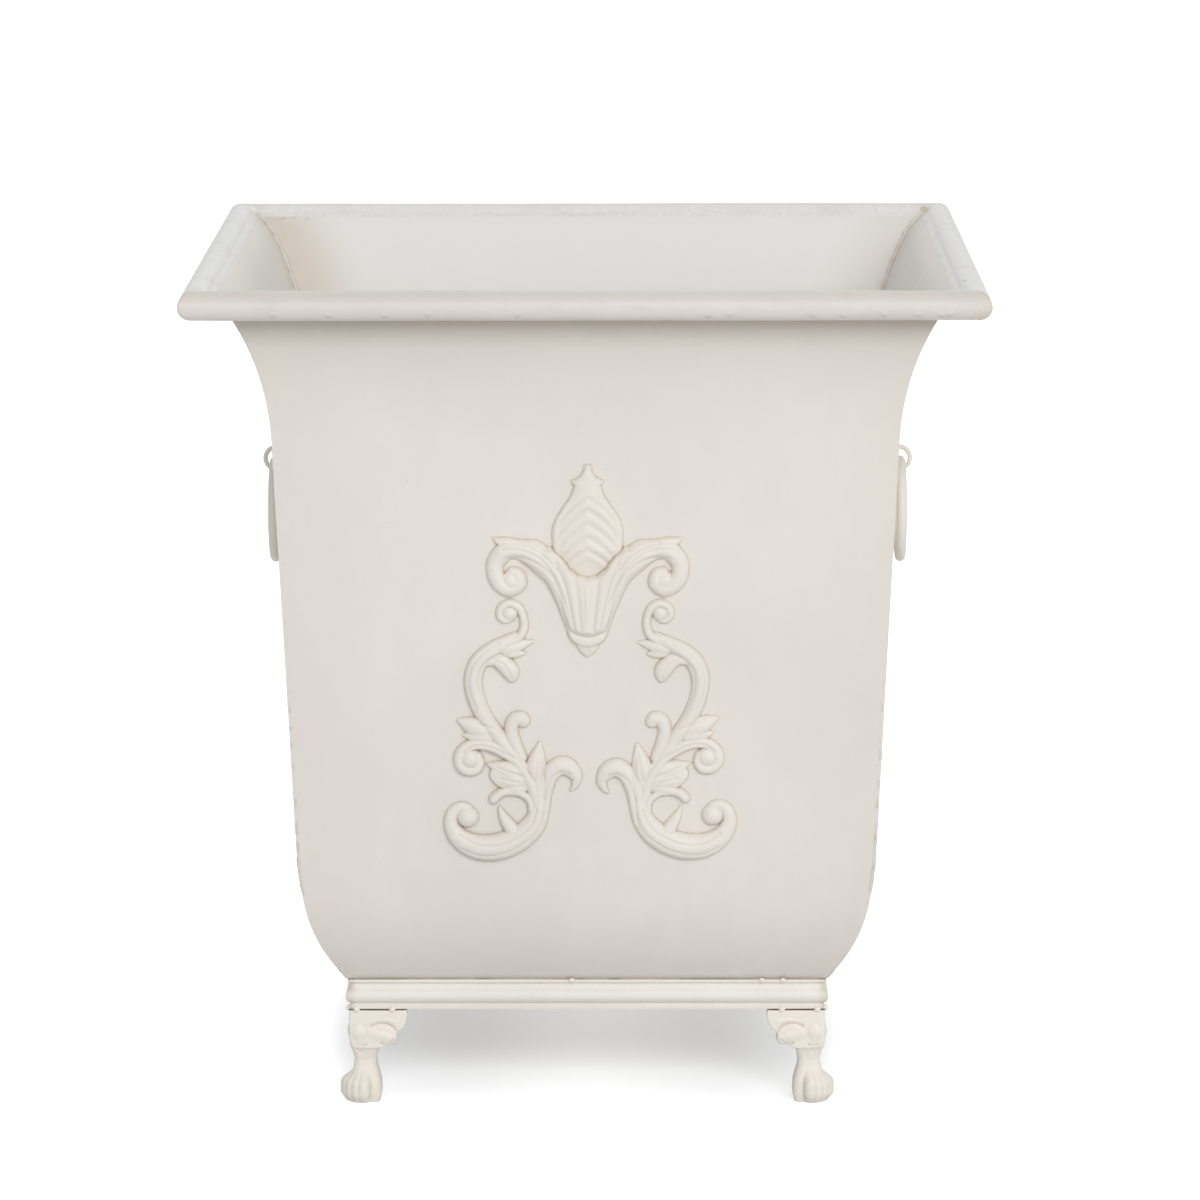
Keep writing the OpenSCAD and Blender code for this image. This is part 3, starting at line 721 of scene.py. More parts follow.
def trim_strip(side):
    bm = bmesh.new()
    half = 0.13
    start = bm.verts.new(in_section(TRIM_BACK, TRIM_LOW) + Vector((-half, 0, 0)))
    shelf, ledge = TRIM_FACE + 2.2, TRIM_FACE + 1.0

    def run_to(geometry, *places):
        for inset, height in places:
            here = geometry[0].co
            there = in_section(inset, height)
            geometry = slide_on(bm, geometry, Vector((0, there.y - here.y, there.z - here.z)))
        return geometry

    last = run_to([start], (shelf + 0.5, TRIM_LOW), (shelf, TRIM_LOW), (shelf, 52.4))
    last = turn_on(bm, last, in_section(shelf, 52.9), 180, 8)
    last = turn_on(bm, last, in_section(TRIM_FACE + 4.279, 57.14), -121.86, 18)
    last = run_to(last, (shelf, 61.358))
    last = turn_on(bm, last, in_section(TRIM_FACE + 1.3, 62.8), 148.03, 12)
    last = run_to(last, (ledge, 64.5), (ledge, BASE_TOP), (TRIM_FACE + 1.4, BASE_TOP),
                  (TRIM_FACE + 1.5, BASE_TOP), (TRIM_BACK, BASE_TOP))
    bm.edges.new((last[0], start))
    bmesh.ops.remove_doubles(bm, verts=bm.verts, dist=1e-6)
    slide_on(bm, everything(bm), (2 * half, 0, 0), 52)
    face_out(bm)
    bm.normal_update()
    for vertex in bm.verts:
        vertex.co += vertex.normal * wave(vertex.co, 70.0 + SIDES[side], 0.05, 0.12)
    mitre(bm)
    layer = bm.verts.layers.float.new("wash_and_shade")
    for vertex in bm.verts:
        inset, height = at_mm(vertex)
        groove = hump(height - 53.0, 0.5)
        # Painted shade: the trim's top under the wall and its bottom are painted dark, as the shade
        # in those gaps
        gap_shade = (height > 65.8) * (inset > 78.8) + (height < 50.2) * (inset > 80.0)
        crossing = 0.7 * hump(abs(vertex.co.y) - abs(vertex.co.x), 0.0012)
        vertex[layer] = min(0.35 * groove + gap_shade + crossing, 1.0)
    turn_to_side(bm, side)
    strip = soften(object_from(bm, "moulding_" + side), 0.22, 2, 50)
    return finished(strip, moulding_paint, "moulding_paint", "trim_" + side, crease=60)


for side in SIDES:
    trim_strip(side)

# %% [markdown]
# A pressed ornament has no undercuts, so it is worked as heights over a fine grid, the way a die
# is cut. A strand follows a smooth line of stations, each with a place and a half width in mm,
# and the grid rises under it in a rounded ridge. Soft lines are then carved in. Cutting the grid
# at the wall's plane leaves the ornament's outline, which is turned back into the wall.

# %% Relief workshop
OUTSIDE = -3.0
EDGE_SLOPE = 3.0
# No carved line goes deeper than this height over the wall, and the rim goes this far into it
LEAST_HEIGHT, ROOT_DEPTH = 0.2, 0.45


def smooth_line(stations, steps):
    """A Catmull-Rom line through stations of any number of values each."""
    p = [np.array(s, float) for s in stations]
    line = []
    for i in range(len(p) - 1):
        a, b, c, d = p[max(i - 1, 0)], p[i], p[i + 1], p[min(i + 2, len(p) - 1)]
        for j in range(steps):
            t = j / steps
            line.append(0.5 * (2 * b + (c - a) * t + (2 * a - 5 * b + 4 * c - d) * t * t
                               + (3 * b - a - 3 * c + d) * t ** 3))
    line.append(p[-1])
    return line


def nearest_on(a, b, x, y):
    """How far along a-b each point (x, y) lies, as a share, and its offsets from there."""
    run = b[:2] - a[:2]
    length = max(float(np.hypot(*run)), 1e-9)
    along = np.clip(((x - a[0]) * run[0] + (y - a[1]) * run[1]) / length ** 2, 0, 1)
    return along, x - a[0] - along * run[0], y - a[1] - along * run[1]


def blurred(values, times):
    for _ in range(times):
        padded = np.pad(values, 1, mode="edge")
        values = (padded[:-2, 1:-1] + padded[2:, 1:-1] + padded[1:-1, :-2]
                  + padded[1:-1, 2:] + 4 * padded[1:-1, 1:-1]) / 8
    return values


class Relief:
    """Heights in millimetres over a fine grid."""

    def __init__(self, low, high, step=0.34):
        self.low, self.step = low, step
        self.columns = int((high[0] - low[0]) / step) + 1
        self.rows = int((high[1] - low[1]) / step) + 1
        self.x, self.y = np.meshgrid(low[0] + step * np.arange(self.columns),
                                     low[1] + step * np.arange(self.rows))
        self.height = np.full(self.x.shape, OUTSIDE)

    def window(self, points, margin):
        low = np.min(points, axis=0) - margin
        high = np.max(points, axis=0) + margin
        c0 = max(int((low[0] - self.low[0]) / self.step), 0)
        c1 = min(int((high[0] - self.low[0]) / self.step) + 2, self.columns)
        r0 = max(int((low[1] - self.low[1]) / self.step), 0)
        r1 = min(int((high[1] - self.low[1]) / self.step) + 2, self.rows)
        return slice(r0, r1), slice(c0, c1)

    def strand(self, stations, rise, lift, power=0.5, steps=6):
        """Raise a rounded ridge along the stations."""
        line = smooth_line(stations, steps)
        for a, b in zip(line[:-1], line[1:]):
            if float(np.hypot(*(b[:2] - a[:2]))) < 1e-6:
                continue
            area = self.window(np.array([a[:2], b[:2]]), max(a[2], b[2]) + 1.5)
            along, off_x, off_y = nearest_on(a, b, self.x[area], self.y[area])
            away = np.hypot(off_x, off_y)
            width = a[2] + along * (b[2] - a[2])
            share = away / width
            crown = rise * width * np.maximum(1 - share * share, 0.0) ** power + lift
            side = EDGE_SLOPE * (width - away)
            self.height[area] = np.maximum(self.height[area], np.minimum(crown, side))

    def carve(self, stations, depth, width):
        """Cut a soft line into what is there."""
        line = smooth_line(stations, 6)
        best = np.full(self.x.shape, 1e3)
        for a, b in zip(line[:-1], line[1:]):
            area = self.window(np.array([a, b]), 3 * width)
            _, off_x, off_y = nearest_on(a, b, self.x[area], self.y[area])
            best[area] = np.minimum(best[area], np.hypot(off_x, off_y))
        carved = np.maximum(self.height - depth * hump(best, width), LEAST_HEIGHT)
        self.height = np.where(self.height > LEAST_HEIGHT, carved, self.height)

    def pressed(self, name, placement, replaced):
        """Turn the heights into a piece on the wall."""
        # The wash mask is what lies lower than its blurred surroundings; the low edge by the wall
        # gets a tan wash and painted shade together
        solid = np.maximum(self.height, 0.0)
        wash_and_shade = np.clip((blurred(solid, 14) - solid) / 0.7, 0.0, 1.0)
        low_edge = np.clip(1.0 - solid / 0.9, 0.0, 1.0)
        wash_and_shade = np.maximum(wash_and_shade, 0.9 * low_edge)
        soft = blurred(self.height, 2)
        bm = bmesh.new()
        bmesh.ops.create_grid(bm, x_segments=self.columns - 1, y_segments=self.rows - 1, size=0.5)
        layer = bm.verts.layers.float.new("wash_and_shade")
        for vertex in bm.verts:
            column = round((vertex.co.x + 0.5) * (self.columns - 1))
            row = round((vertex.co.y + 0.5) * (self.rows - 1))
            vertex.co = (self.low[0] + column * self.step, self.low[1] + row * self.step,
                         soft[row, column])
            vertex[layer] = wash_and_shade[row, column]
        bmesh.ops.bisect_plane(bm, geom=everything(bm), dist=1e-6, plane_co=(0, 0, 0),
                               plane_no=(0, 0, 1), clear_inner=True)
        turned = bmesh.ops.extrude_edge_only(bm, edges=open_edges(bm))["geom"]
        foot = [g for g in turned if isinstance(g, bmesh.types.BMVert)]
        bmesh.ops.translate(bm, verts=foot, vec=(0, 0, -ROOT_DEPTH))
        bmesh.ops.triangle_fill(bm, use_beauty=False, use_dissolve=False, edges=open_edges(bm),
                                normal=(0, 0, -1))
        bmesh.ops.transform(bm, matrix=placement @ Matrix.Scale(MM, 4), verts=bm.verts)
        face_out(bm)
        finished(object_from(bm, name), ornament_paint, "ornament_paint", replaced, crease=70)


def on_front_wall(offset, height, turn=0.0):
    """The place of an ornament on the front wall's face, its heights pointing out of it."""
    inset = FLAT_TOP[0] + (FLAT_TOP[1] - height) * math.tan(math.radians(TAPER))
    return (Matrix.Translation(Vector((offset, inset - HALF_RIM, height)) * MM)
            @ Matrix.Rotation(math.radians(90 + TAPER), 4, "X")
            @ Matrix.Rotation(math.radians(turn), 4, "Z"))


# %% [markdown]
# The palmette: a veined leaf with a budded neck rises from a bell of flutes, whose outer flutes
# turn over into two scrolled arms. Under the bell a collar and a small drop end it.

# %% Palmette
def mirrored(stations):
    return [(-s[0],) + tuple(s[1:]) for s in stations]


palmette = Relief((-54.5, -59.5), (54.5, 44.5))
x, y = palmette.x, palmette.y
LEAF_UP = (-17, -12, -6, 0, 5, 10, 15, 20, 24, 27, 29.5, 32, 33.4, 34.6, 36.5, 39, 41, 43.4)
LEAF_WIDTH = (7, 12.5, 16.2, 18, 18.5, 18.3, 16.6, 13.4, 10.6, 8.8, 7.8, 7.2, 8.4, 7.8, 4.6, 3.0,
              2.0, 1.0)
leaf_width = np.interp(y, LEAF_UP, LEAF_WIDTH)
share = np.abs(x) / leaf_width
leaf = 1.2 + 3.9 * np.sqrt(np.clip(1 - share ** 2, 0, 1)) * np.interp(y, (28, 42), (1, 0.5))
leaf = np.minimum(leaf, EDGE_SLOPE * (leaf_width - np.abs(x)))
leaf = np.where((y > -16) & (y < 43), leaf, OUTSIDE)
palmette.height = np.maximum(palmette.height, leaf)
# Barbs: soft V-shaped ribs that point up along the middle
barbs = y + 0.42 * np.abs(x) + 0.028 * x ** 2
inner = np.clip((0.86 - share) / 0.16, 0.0, 1.0) * np.clip((31 - y) / 4, 0.0, 1.0)
for apex in (26, 19.5, 12.5, 5.5, -1):
    palmette.height -= inner * 0.55 * hump(barbs - apex, 1.4)
    palmette.height += inner * 0.4 * hump(barbs - apex + 3.0, 2.0)
palmette.height += 0.5 * hump(share - 0.9, 0.07) * (y > -10) * (y < 30) * (share < 1)
sink = np.clip((-1 - y) / 13, 0.0, 1.0)
palmette.height = np.where(palmette.height > 1, palmette.height - 3.0 * sink, palmette.height)

# The bell between its curved lip and its straight sides, with a row of flutes
bell_width = np.interp(y, (-46, -40, -35, -28, -20, -15, -10),
                       (9.6, 11.4, 12.9, 15.0, 17.9, 20.5, 25))
lip_line = np.interp(np.abs(x), (0, 5, 9, 12, 15, 19), (-15, -14, -10.5, -6, -2.8, 0))
share = np.abs(x) / bell_width
bell = 3.6 + 2.6 * np.sqrt(np.clip(1 - 0.9 * share ** 2, 0, 1))
for low_edge, high_edge in ((-0.3, 0.3), (0.3, 0.62), (0.62, 1.1)):
    across_flute = np.clip((share - low_edge) / (high_edge - low_edge), 0.0, 1.0)
    bell += 1.3 * np.sin(np.pi * across_flute) ** 0.7
bell -= 0.25 * hump(share - 0.1, 0.04)
bell = np.minimum(bell, EDGE_SLOPE * (bell_width - np.abs(x)))
bell = np.minimum(bell, 1.8 + 2.4 * (lip_line - y))
bottom_line = -43.4 - 4.2 * np.clip(1 - (x / 10) ** 2, 0, 1)
bell = np.minimum(bell, 2.2 + 1.2 * (y - bottom_line))
bell = np.where((y > bottom_line - 1) & (y < lip_line + 1.5), bell, OUTSIDE)
palmette.height = np.maximum(palmette.height, bell)

bud = [(4.6, 33.4, 1.5), (6.6, 33.6, 1.5), (8.0, 34.4, 0.8)]
prong = [(0.9, 38, 1.5), (1.5, 41, 0.9), (2.0, 43, 0.5)]
arm = [(7, -46, 2.8), (8.8, -37, 4.2), (11.8, -26, 5.4), (16, -15, 6.6), (21.4, -8.2, 7.6),
       (27.5, -3.7, 7.0), (34.2, -1.3, 5.6), (41, -1.6, 5.5), (46.4, -7.2, 4.9), (47, -13.5, 4.7),
       (44.5, -18.8, 4.7), (39.6, -21.6, 4.6), (35.2, -18.8, 4.6), (35.6, -14.8, 4.1),
       (38.4, -13.2, 3.2)]
scroll_eye = [(38.4, -17.6, 5.2), (39.2, -17.2, 5.2)]
lobes = ([(38, 1.6, 3.4), (41.5, 2.2, 3.2), (44.6, 2.9, 2.4), (47.0, 4.1, 1.2), (48.2, 4.8, 0.6)],
         [(22, -1.6, 2.6), (26, 0.8, 3.0), (29.6, 1.8, 2.4), (32.4, 2.0, 1.4)])
arm_lines = (
    ([(9.0, -41), (11.6, -29), (15.6, -18.5), (21, -11), (27, -6.8), (34, -4.8), (41, -5.6)],
     0.9, 1.1),
    ([(12.4, -29), (16.6, -15.6), (22.4, -6.6), (29, -2.2), (36, -0.4), (43, -0.4)], 0.8, 0.9),
    ([(16, -11), (20.6, -5), (26.4, -0.6), (32, 1.6), (37, 2.2)], 0.55, 0.7),
)
for turned in (list, mirrored):
    palmette.strand(turned(arm), rise=0.86, lift=0.7, power=0.7)
    palmette.strand(turned(scroll_eye), rise=0.85, lift=0.6, power=0.7, steps=1)
    for lobe in lobes:
        palmette.strand(turned(lobe), rise=0.7, lift=1.5)
    palmette.strand(turned(bud), rise=0.9, lift=1.0)
    palmette.strand(turned(prong), rise=0.7, lift=1.0)
    for line, depth, width in arm_lines:
        palmette.carve(turned(line), depth, width)
palmette.strand([(0, -48, 6.6), (0, -51, 5.6), (0, -54, 3.4), (0, -56, 1.7), (0, -57.2, 0.7)],
                rise=0.42, lift=0.6)
collar = [(8.8, -43.8, 2.0), (6.9, -46.3, 2.9), (3.7, -48.1, 3.6), (0, -48.8, 3.8)]
for turned in (list, mirrored):
    palmette.strand(turned(collar), rise=0.62, lift=2.1)
palmette.strand([(1.0, -50.6, 1.2), (1.2, -53, 1.3), (0.8, -55, 0.7)], rise=0.8, lift=2.8)
palmette.pressed("palmette_pressing", on_front_wall(1.0, 300.0), "palmette_ornament")

# %% [markdown]
# The sprays: one running stem throws off curls and leaves on both sides and ends in a big scroll.
# Both come from the same die; the right one is its mirror image, turned by two and a half degrees.

# %% Side sprays
spray_stem = [(2.5, 48.5, 2.6), (-3.5, 45, 3.6), (-10.5, 40.5, 4.5), (-16.5, 34.5, 4.9),
              (-19, 27, 4.9), (-18.7, 20, 4.7), (-16.2, 12, 4.6), (-12.5, 5, 4.4), (-7.5, -2, 4.2),
              (-2.5, -9, 4.0), (4, -18, 3.8), (10, -28, 3.8), (13, -38, 3.4)]
top_curl = [(-4, 44.5, 2.4), (1.5, 46.5, 2.6), (5.6, 49.6, 2.6), (7.0, 54, 2.5), (6.6, 59, 2.4),
            (4.4, 63.6, 2.4), (0, 65.9, 2.4), (-4.4, 63.8, 2.3), (-5.4, 59.6, 2.2), (-3, 57, 2.0),
            (0.2, 57.4, 1.8)]
side_curl = [(10.5, -25, 3), (2.5, -16.5, 3.4), (-5.5, -11, 3.6), (-13.5, -8.2, 3.4),
             (-20.5, -8.6, 3.2), (-25.6, -12.5, 3.2), (-26.4, -18, 3.2), (-23, -21.7, 3.2),
             (-18, -21.4, 3.1), (-16, -17.6, 2.8), (-17, -14.2, 2.4)]
small_curl = [(5.5, -15, 3), (2.2, -8, 3.6), (0.2, -1, 3.8), (1.6, 4.4, 3.9), (5.4, 5.6, 3.7),
              (7, 3.9, 3)]
hook = [(16.5, -42, 3.6), (17.6, -32, 4.2), (20.5, -23.4, 4.8), (25.5, -19.5, 5.1),
        (30.4, -21, 4.6), (33.6, -25.5, 3.2), (32.6, -30, 2), (30.5, -32.7, 0.8)]
finger = [(7.5, -54.5, 1.6), (10.2, -50, 2), (10.8, -44, 2.3), (9.5, -37.5, 2.4), (5, -34, 2.4),
          (-0.5, -32.8, 2.5), (-5.5, -34, 2.8), (-8.8, -37, 2.9)]
big_scroll = [(14.5, -27, 3.6), (15, -39, 4.8), (12.5, -49, 6), (5.5, -57, 6.8), (-3.5, -61.6, 7.2),
              (-11.5, -63, 7), (-19.5, -62, 6.4), (-27, -57.5, 5.2), (-30.8, -51, 4),
              (-30.3, -45, 3.4), (-27, -41.8, 3), (-23, -42, 2.8), (-20.5, -45, 2.6)]
leaf_body = [(9, -28, 5), (3, -26, 7.2), (-3, -25, 6.8), (-7, -24, 4.4)]
long_leaf = [(-12, 36, 3.4), (-7.4, 36.6, 4.0), (-3.4, 34, 4.6), (-0.4, 30.8, 4.8),
             (0.6, 27.6, 3.2), (0.8, 24.8, 0.7)]
scroll_leaf = [(3, -57, 4.8), (-0.5, -52, 3.8), (-3.8, -47, 2.7), (-5.6, -43, 1.4),
               (-6, -41, 0.6)]
# Strands in the order they are laid: stations, rise, lift, power
SPRAY_STRANDS = (
    (leaf_body, 0.3, 1.3, 0.5), (long_leaf, 0.7, 0.9, 0.6), (scroll_leaf, 0.8, 0.7, 0.6),
    (spray_stem, 0.86, 0.8, 0.7), (small_curl, 0.9, 0.7, 0.6), (side_curl, 0.95, 0.8, 0.6),
    (top_curl, 1.0, 0.8, 0.6), (hook, 0.75, 0.9, 0.6), (finger, 1.0, 1.0, 0.6),
    (big_scroll, 0.68, 0.9, 0.7))
# Eyes that fill the curls: place and radius
SPRAY_EYES = ((-0.5, 60.4, 4.1), (-21, -15.8, 5.4), (-22.6, -46.6, 5.6), (6.0, 4.2, 3.7))
# Leaves: base, tip, half width
SPRAY_LEAVES = (
    ((-6, 41), (12.0, 46.0), 3.8), ((-3, 40), (8.0, 39.6), 3.0), ((-11, -2), (-27.2, 4.6), 5.2),
    ((-9, -4), (-24.5, -3.4), 4.4), ((11, -30), (14.8, -7.4), 5.6), ((8, -24), (-12, -18.8), 5.2),
    ((7.5, -27), (-10, -26.6), 5.2), ((7, -30.5), (-6, -33), 4.4))
# Soft lines cut along the forms: stations, depth, width
SPRAY_LINES = (
    ([(-6, 45.2), (-13, 41), (-19, 34), (-21.4, 27), (-20.6, 19), (-17.5, 11)], 0.6, 0.8),
    ([(-4, 39.5), (-10, 37.5), (-15, 32), (-16.4, 25), (-14.6, 17), (-10, 8), (-4, 0)], 0.7, 0.8),
    ([(12, -27), (5, -17), (-3, -12.5), (-11, -8.8), (-19, -8.6), (-24.6, -12.4)], 0.7, 0.75),
    ([(16, -52), (17, -38), (17.2, -26), (15.6, -14)], 0.6, 0.8),
    ([(17, -36), (20, -26.6), (25, -22.4), (30, -23.4)], 0.6, 0.9),
    ([(17, -44), (12.8, -54), (4, -61.5), (-6, -65.6), (-16, -66.4), (-25, -63)], 0.55, 0.8),
    ([(13, -42), (9.6, -51), (1, -57.6), (-8, -60.8), (-18, -60.2), (-26, -55.6)], 0.7, 0.8),
    ([(-9, 36.6), (-4.4, 35.2), (-1, 31), (0.6, 26.6)], 0.5, 0.7),
    ([(-6, 0), (-14, 2.4), (-20, 5)], 0.5, 0.7),
    ([(5, -24), (-2, -21.8), (-7, -19.8)], 0.6, 0.7),
    ([(4, -27.6), (-5, -26)], 0.6, 0.7),
    ([(12.6, -26), (14.4, -12)], 0.5, 0.7),
)


def leaf_stations(base, tip, half_width):
    b, t = np.array(base, float), np.array(tip, float)
    shares = ((0.0, 0.62), (0.18, 0.86), (0.38, 1.0), (0.62, 0.8), (0.84, 0.45), (1.0, 0.16))
    return [(*(b + u * (t - b)), w * half_width) for u, w in shares]


def spray(turned):
    die = Relief((-38, -73), (38, 71))
    for base, tip, half_width in SPRAY_LEAVES:
        die.strand(turned(leaf_stations(base, tip, half_width)), 0.7, 0.7, 0.6)
    for stations, rise, lift, power in SPRAY_STRANDS:
        die.strand(turned(stations), rise, lift, power)
    for u, v, radius in SPRAY_EYES:
        die.strand(turned([(u, v, radius), (u + 0.5, v, radius)]), 0.8, 0.6, 0.7, steps=1)
    for line, depth, width in SPRAY_LINES:
        die.carve(turned(line), depth, width)
    return die


spray(list).pressed("spray_pressing_left", on_front_wall(-38.5, 205.0), "spray_ornament_left")
spray(mirrored).pressed("spray_pressing_right", on_front_wall(40.5, 205.0, 2.5),
                        "spray_ornament_right")

# %% [markdown]
# The handles: a ring of 5.4 mm wire hangs in a wire eye. The eye's legs pass through the side wall
# and are bent flat inside it. A small circle is swept through the same bends as the real wire.

# %% Ring handles
RING_PIVOT = (166.743, 319.719)
RING_RADIUS, RING_WIRE_RADIUS = 25.65, 2.7
EYE_BEND, EYE_REACH, EYE_WIRE_RADIUS, EYE_HEIGHT = 6.1, 8.0, 1.3, 321.8
TAIL_BEND, TAIL, TAIL_GAP = 2.2, 8, 0.1
WALL_X = HALF_RIM - FLAT_TOP[0] - (FLAT_TOP[1] - EYE_HEIGHT) * math.tan(math.radians(TAPER))


def handle_ring(side, sign):
    bm = bmesh.new()
    centre = Vector((sign * RING_PIVOT[0], 0, RING_PIVOT[1] - RING_RADIUS)) * MM
    bmesh.ops.create_circle(bm, radius=RING_WIRE_RADIUS * MM, segments=28,
                            matrix=Matrix.Translation(centre + Vector((0, RING_RADIUS * MM, 0))))
    bmesh.ops.spin(bm, geom=everything(bm), cent=centre, axis=(1, 0, 0), angle=math.tau, steps=120,
                   use_merge=True)
    bmesh.ops.remove_doubles(bm, verts=bm.verts, dist=1e-6)
    face_out(bm)
    ring = object_from(bm, "ring_" + side)
    return finished(ring, handle_paint, "handle_paint", "handle_ring_" + side, body="ring_" + side)


def handle_eye(side, sign):
    bm = bmesh.new()
    tail_x = -SHEET - TAIL_GAP - EYE_WIRE_RADIUS
    bmesh.ops.create_circle(bm, radius=EYE_WIRE_RADIUS, segments=20,
                            matrix=Matrix.Translation((tail_x, 0, EYE_BEND + TAIL_BEND + TAIL)))
    elbow_x = tail_x + TAIL_BEND
    elbow_z = EYE_BEND + TAIL_BEND
    last = slide_on(bm, everything(bm), (0, 0, -TAIL), 8)
    last = turn_on(bm, last, (elbow_x, 0, elbow_z), -90, 10, axis=(0, 1, 0))
    last = slide_on(bm, last, (EYE_REACH - elbow_x, 0, 0), 10)
    last = turn_on(bm, last, (EYE_REACH, 0, 0), 180, 28, axis=(0, 1, 0))
    last = slide_on(bm, last, (elbow_x - EYE_REACH, 0, 0), 10)
    last = turn_on(bm, last, (elbow_x, 0, -elbow_z), -90, 10, axis=(0, 1, 0))
    slide_on(bm, last, (0, 0, -TAIL), 8)
    bmesh.ops.holes_fill(bm, edges=open_edges(bm), sides=0)
    place = (Matrix.Scale(sign, 4, (1, 0, 0))
             @ Matrix.Translation(Vector((WALL_X, 0, EYE_HEIGHT)) * MM)
             @ Matrix.Rotation(math.radians(TAPER), 4, "Y") @ Matrix.Scale(MM, 4))
    bmesh.ops.transform(bm, matrix=place, verts=bm.verts)
    face_out(bm)
    eye = soften(object_from(bm, "eye_" + side), 0.3, 2, 50)
    return finished(eye, handle_paint, "handle_paint", "handle_eye_" + side)


for side, sign in (("left", -1), ("right", 1)):
    handle_ring(side, sign)
    handle_eye(side, sign)

# %% [markdown]
# The feet are small castings: two wings under the trim, a knee, a slim leg and a paw. Such a form
# is modelled as clay is: lumps are pressed together, made one skin by a voxel remesh, smoothed,
# and then the scroll and the toes are engraved by moving vertices along their normals.

# %% Cast paw feet
FOOT_CORNER = 124.055
FOOT_HEIGHT = 49.7
# The paw stands round a point this far in from the casting's corner, both ways
PAW_MIDDLE = 8.5
WING_DEPTH = 5.5
TOES, TOE_STEP = 5, 19


def lump(bm, balls):
    """One convex lump over a few balls (x, y, z, radius), in mm."""
    part = bmesh.new()
    for x, y, z, radius in balls:
        bmesh.ops.create_icosphere(part, subdivisions=3, radius=radius,
                                   matrix=Matrix.Translation((x, y, z)))
    if len(balls) > 1:
        hull = bmesh.ops.convex_hull(part, input=part.verts)
        loose = set(hull["geom_interior"]) | set(hull["geom_unused"])
        bmesh.ops.delete(part, geom=[g for g in loose if isinstance(g, bmesh.types.BMVert)],
                         context="VERTS")
    join_on(bm, part)


def squared(level, near, far, rounding):
    """Four balls that make one softly squared section of the leg."""
    a, b = near + rounding, far - rounding
    return [(x, y, level, rounding) for x in (a, b) for y in (a, b)]


WING_OUTLINE = [(0, 49.7), (0, 44), (0, 36), (1, 31.6), (5, 29.6), (11, 28.6), (16.4, 28.8),
                (18.6, 30.4), (23.2, 31.6), (24.8, 34), (24.8, 37), (28.4, 40), (30.2, 44.6),
                (30.5, 48), (29.4, 49.7)]
# Lumps on a wing, each over three balls
WING_LUMPS = (((11.5, 4.9, 37.0, 5.4), (18.4, 4.6, 35.6, 5.5), (21.6, 3.6, 34.4, 4.1)),
              ((12.0, 3.6, 42.6, 3.7), (19, 3.6, 44.0, 4.1), (24.6, 3.4, 43.4, 3.9)))
# Lines engraved in a wing: places, depth, width
CARVED = (
    ([(11.5, 41.0), (15.5, 42.3), (19.8, 41.9), (23.0, 40.2), (24.4, 38.0)], 0.7, 0.9),
    ([(16.6, 31.6), (18.4, 30.9), (21.0, 31.4), (23.0, 33.2)], 0.7, 0.8),
    ([(4.1, 30.9), (6.3, 30.3), (8.8, 31)], 0.5, 0.6),
    ([(3.4, 28.6), (5.3, 27.1), (7.0, 27.9)], 0.4, 0.6),
)
# Squared sections of the leg: height, near side, far side, rounding
LEG = ((0, 0.4, 15.6, 2.6), (4.5, -0.6, 16.8, 4.0), (10, -0.4, 16.6, 4.6), (15, 1.2, 15.4, 4.6),
       (18.5, 2.0, 14.4, 4.2), (23, 2.4, 14.2, 4), (27.2, 1.5, 15.1, 3.4), (31, 0.0, 15.5, 2.4),
       (49.5, 0.1, 15.9, 0.6))


def away_from(line, u, v):
    """Distance in mm of every point (u, v) from a drawn line."""
    best = np.full(u.shape, 1e3)
    for a, b in zip(line[:-1], line[1:]):
        _, off_u, off_v = nearest_on(a, b, u, v)
        best = np.minimum(best, np.hypot(off_u, off_v))
    return best


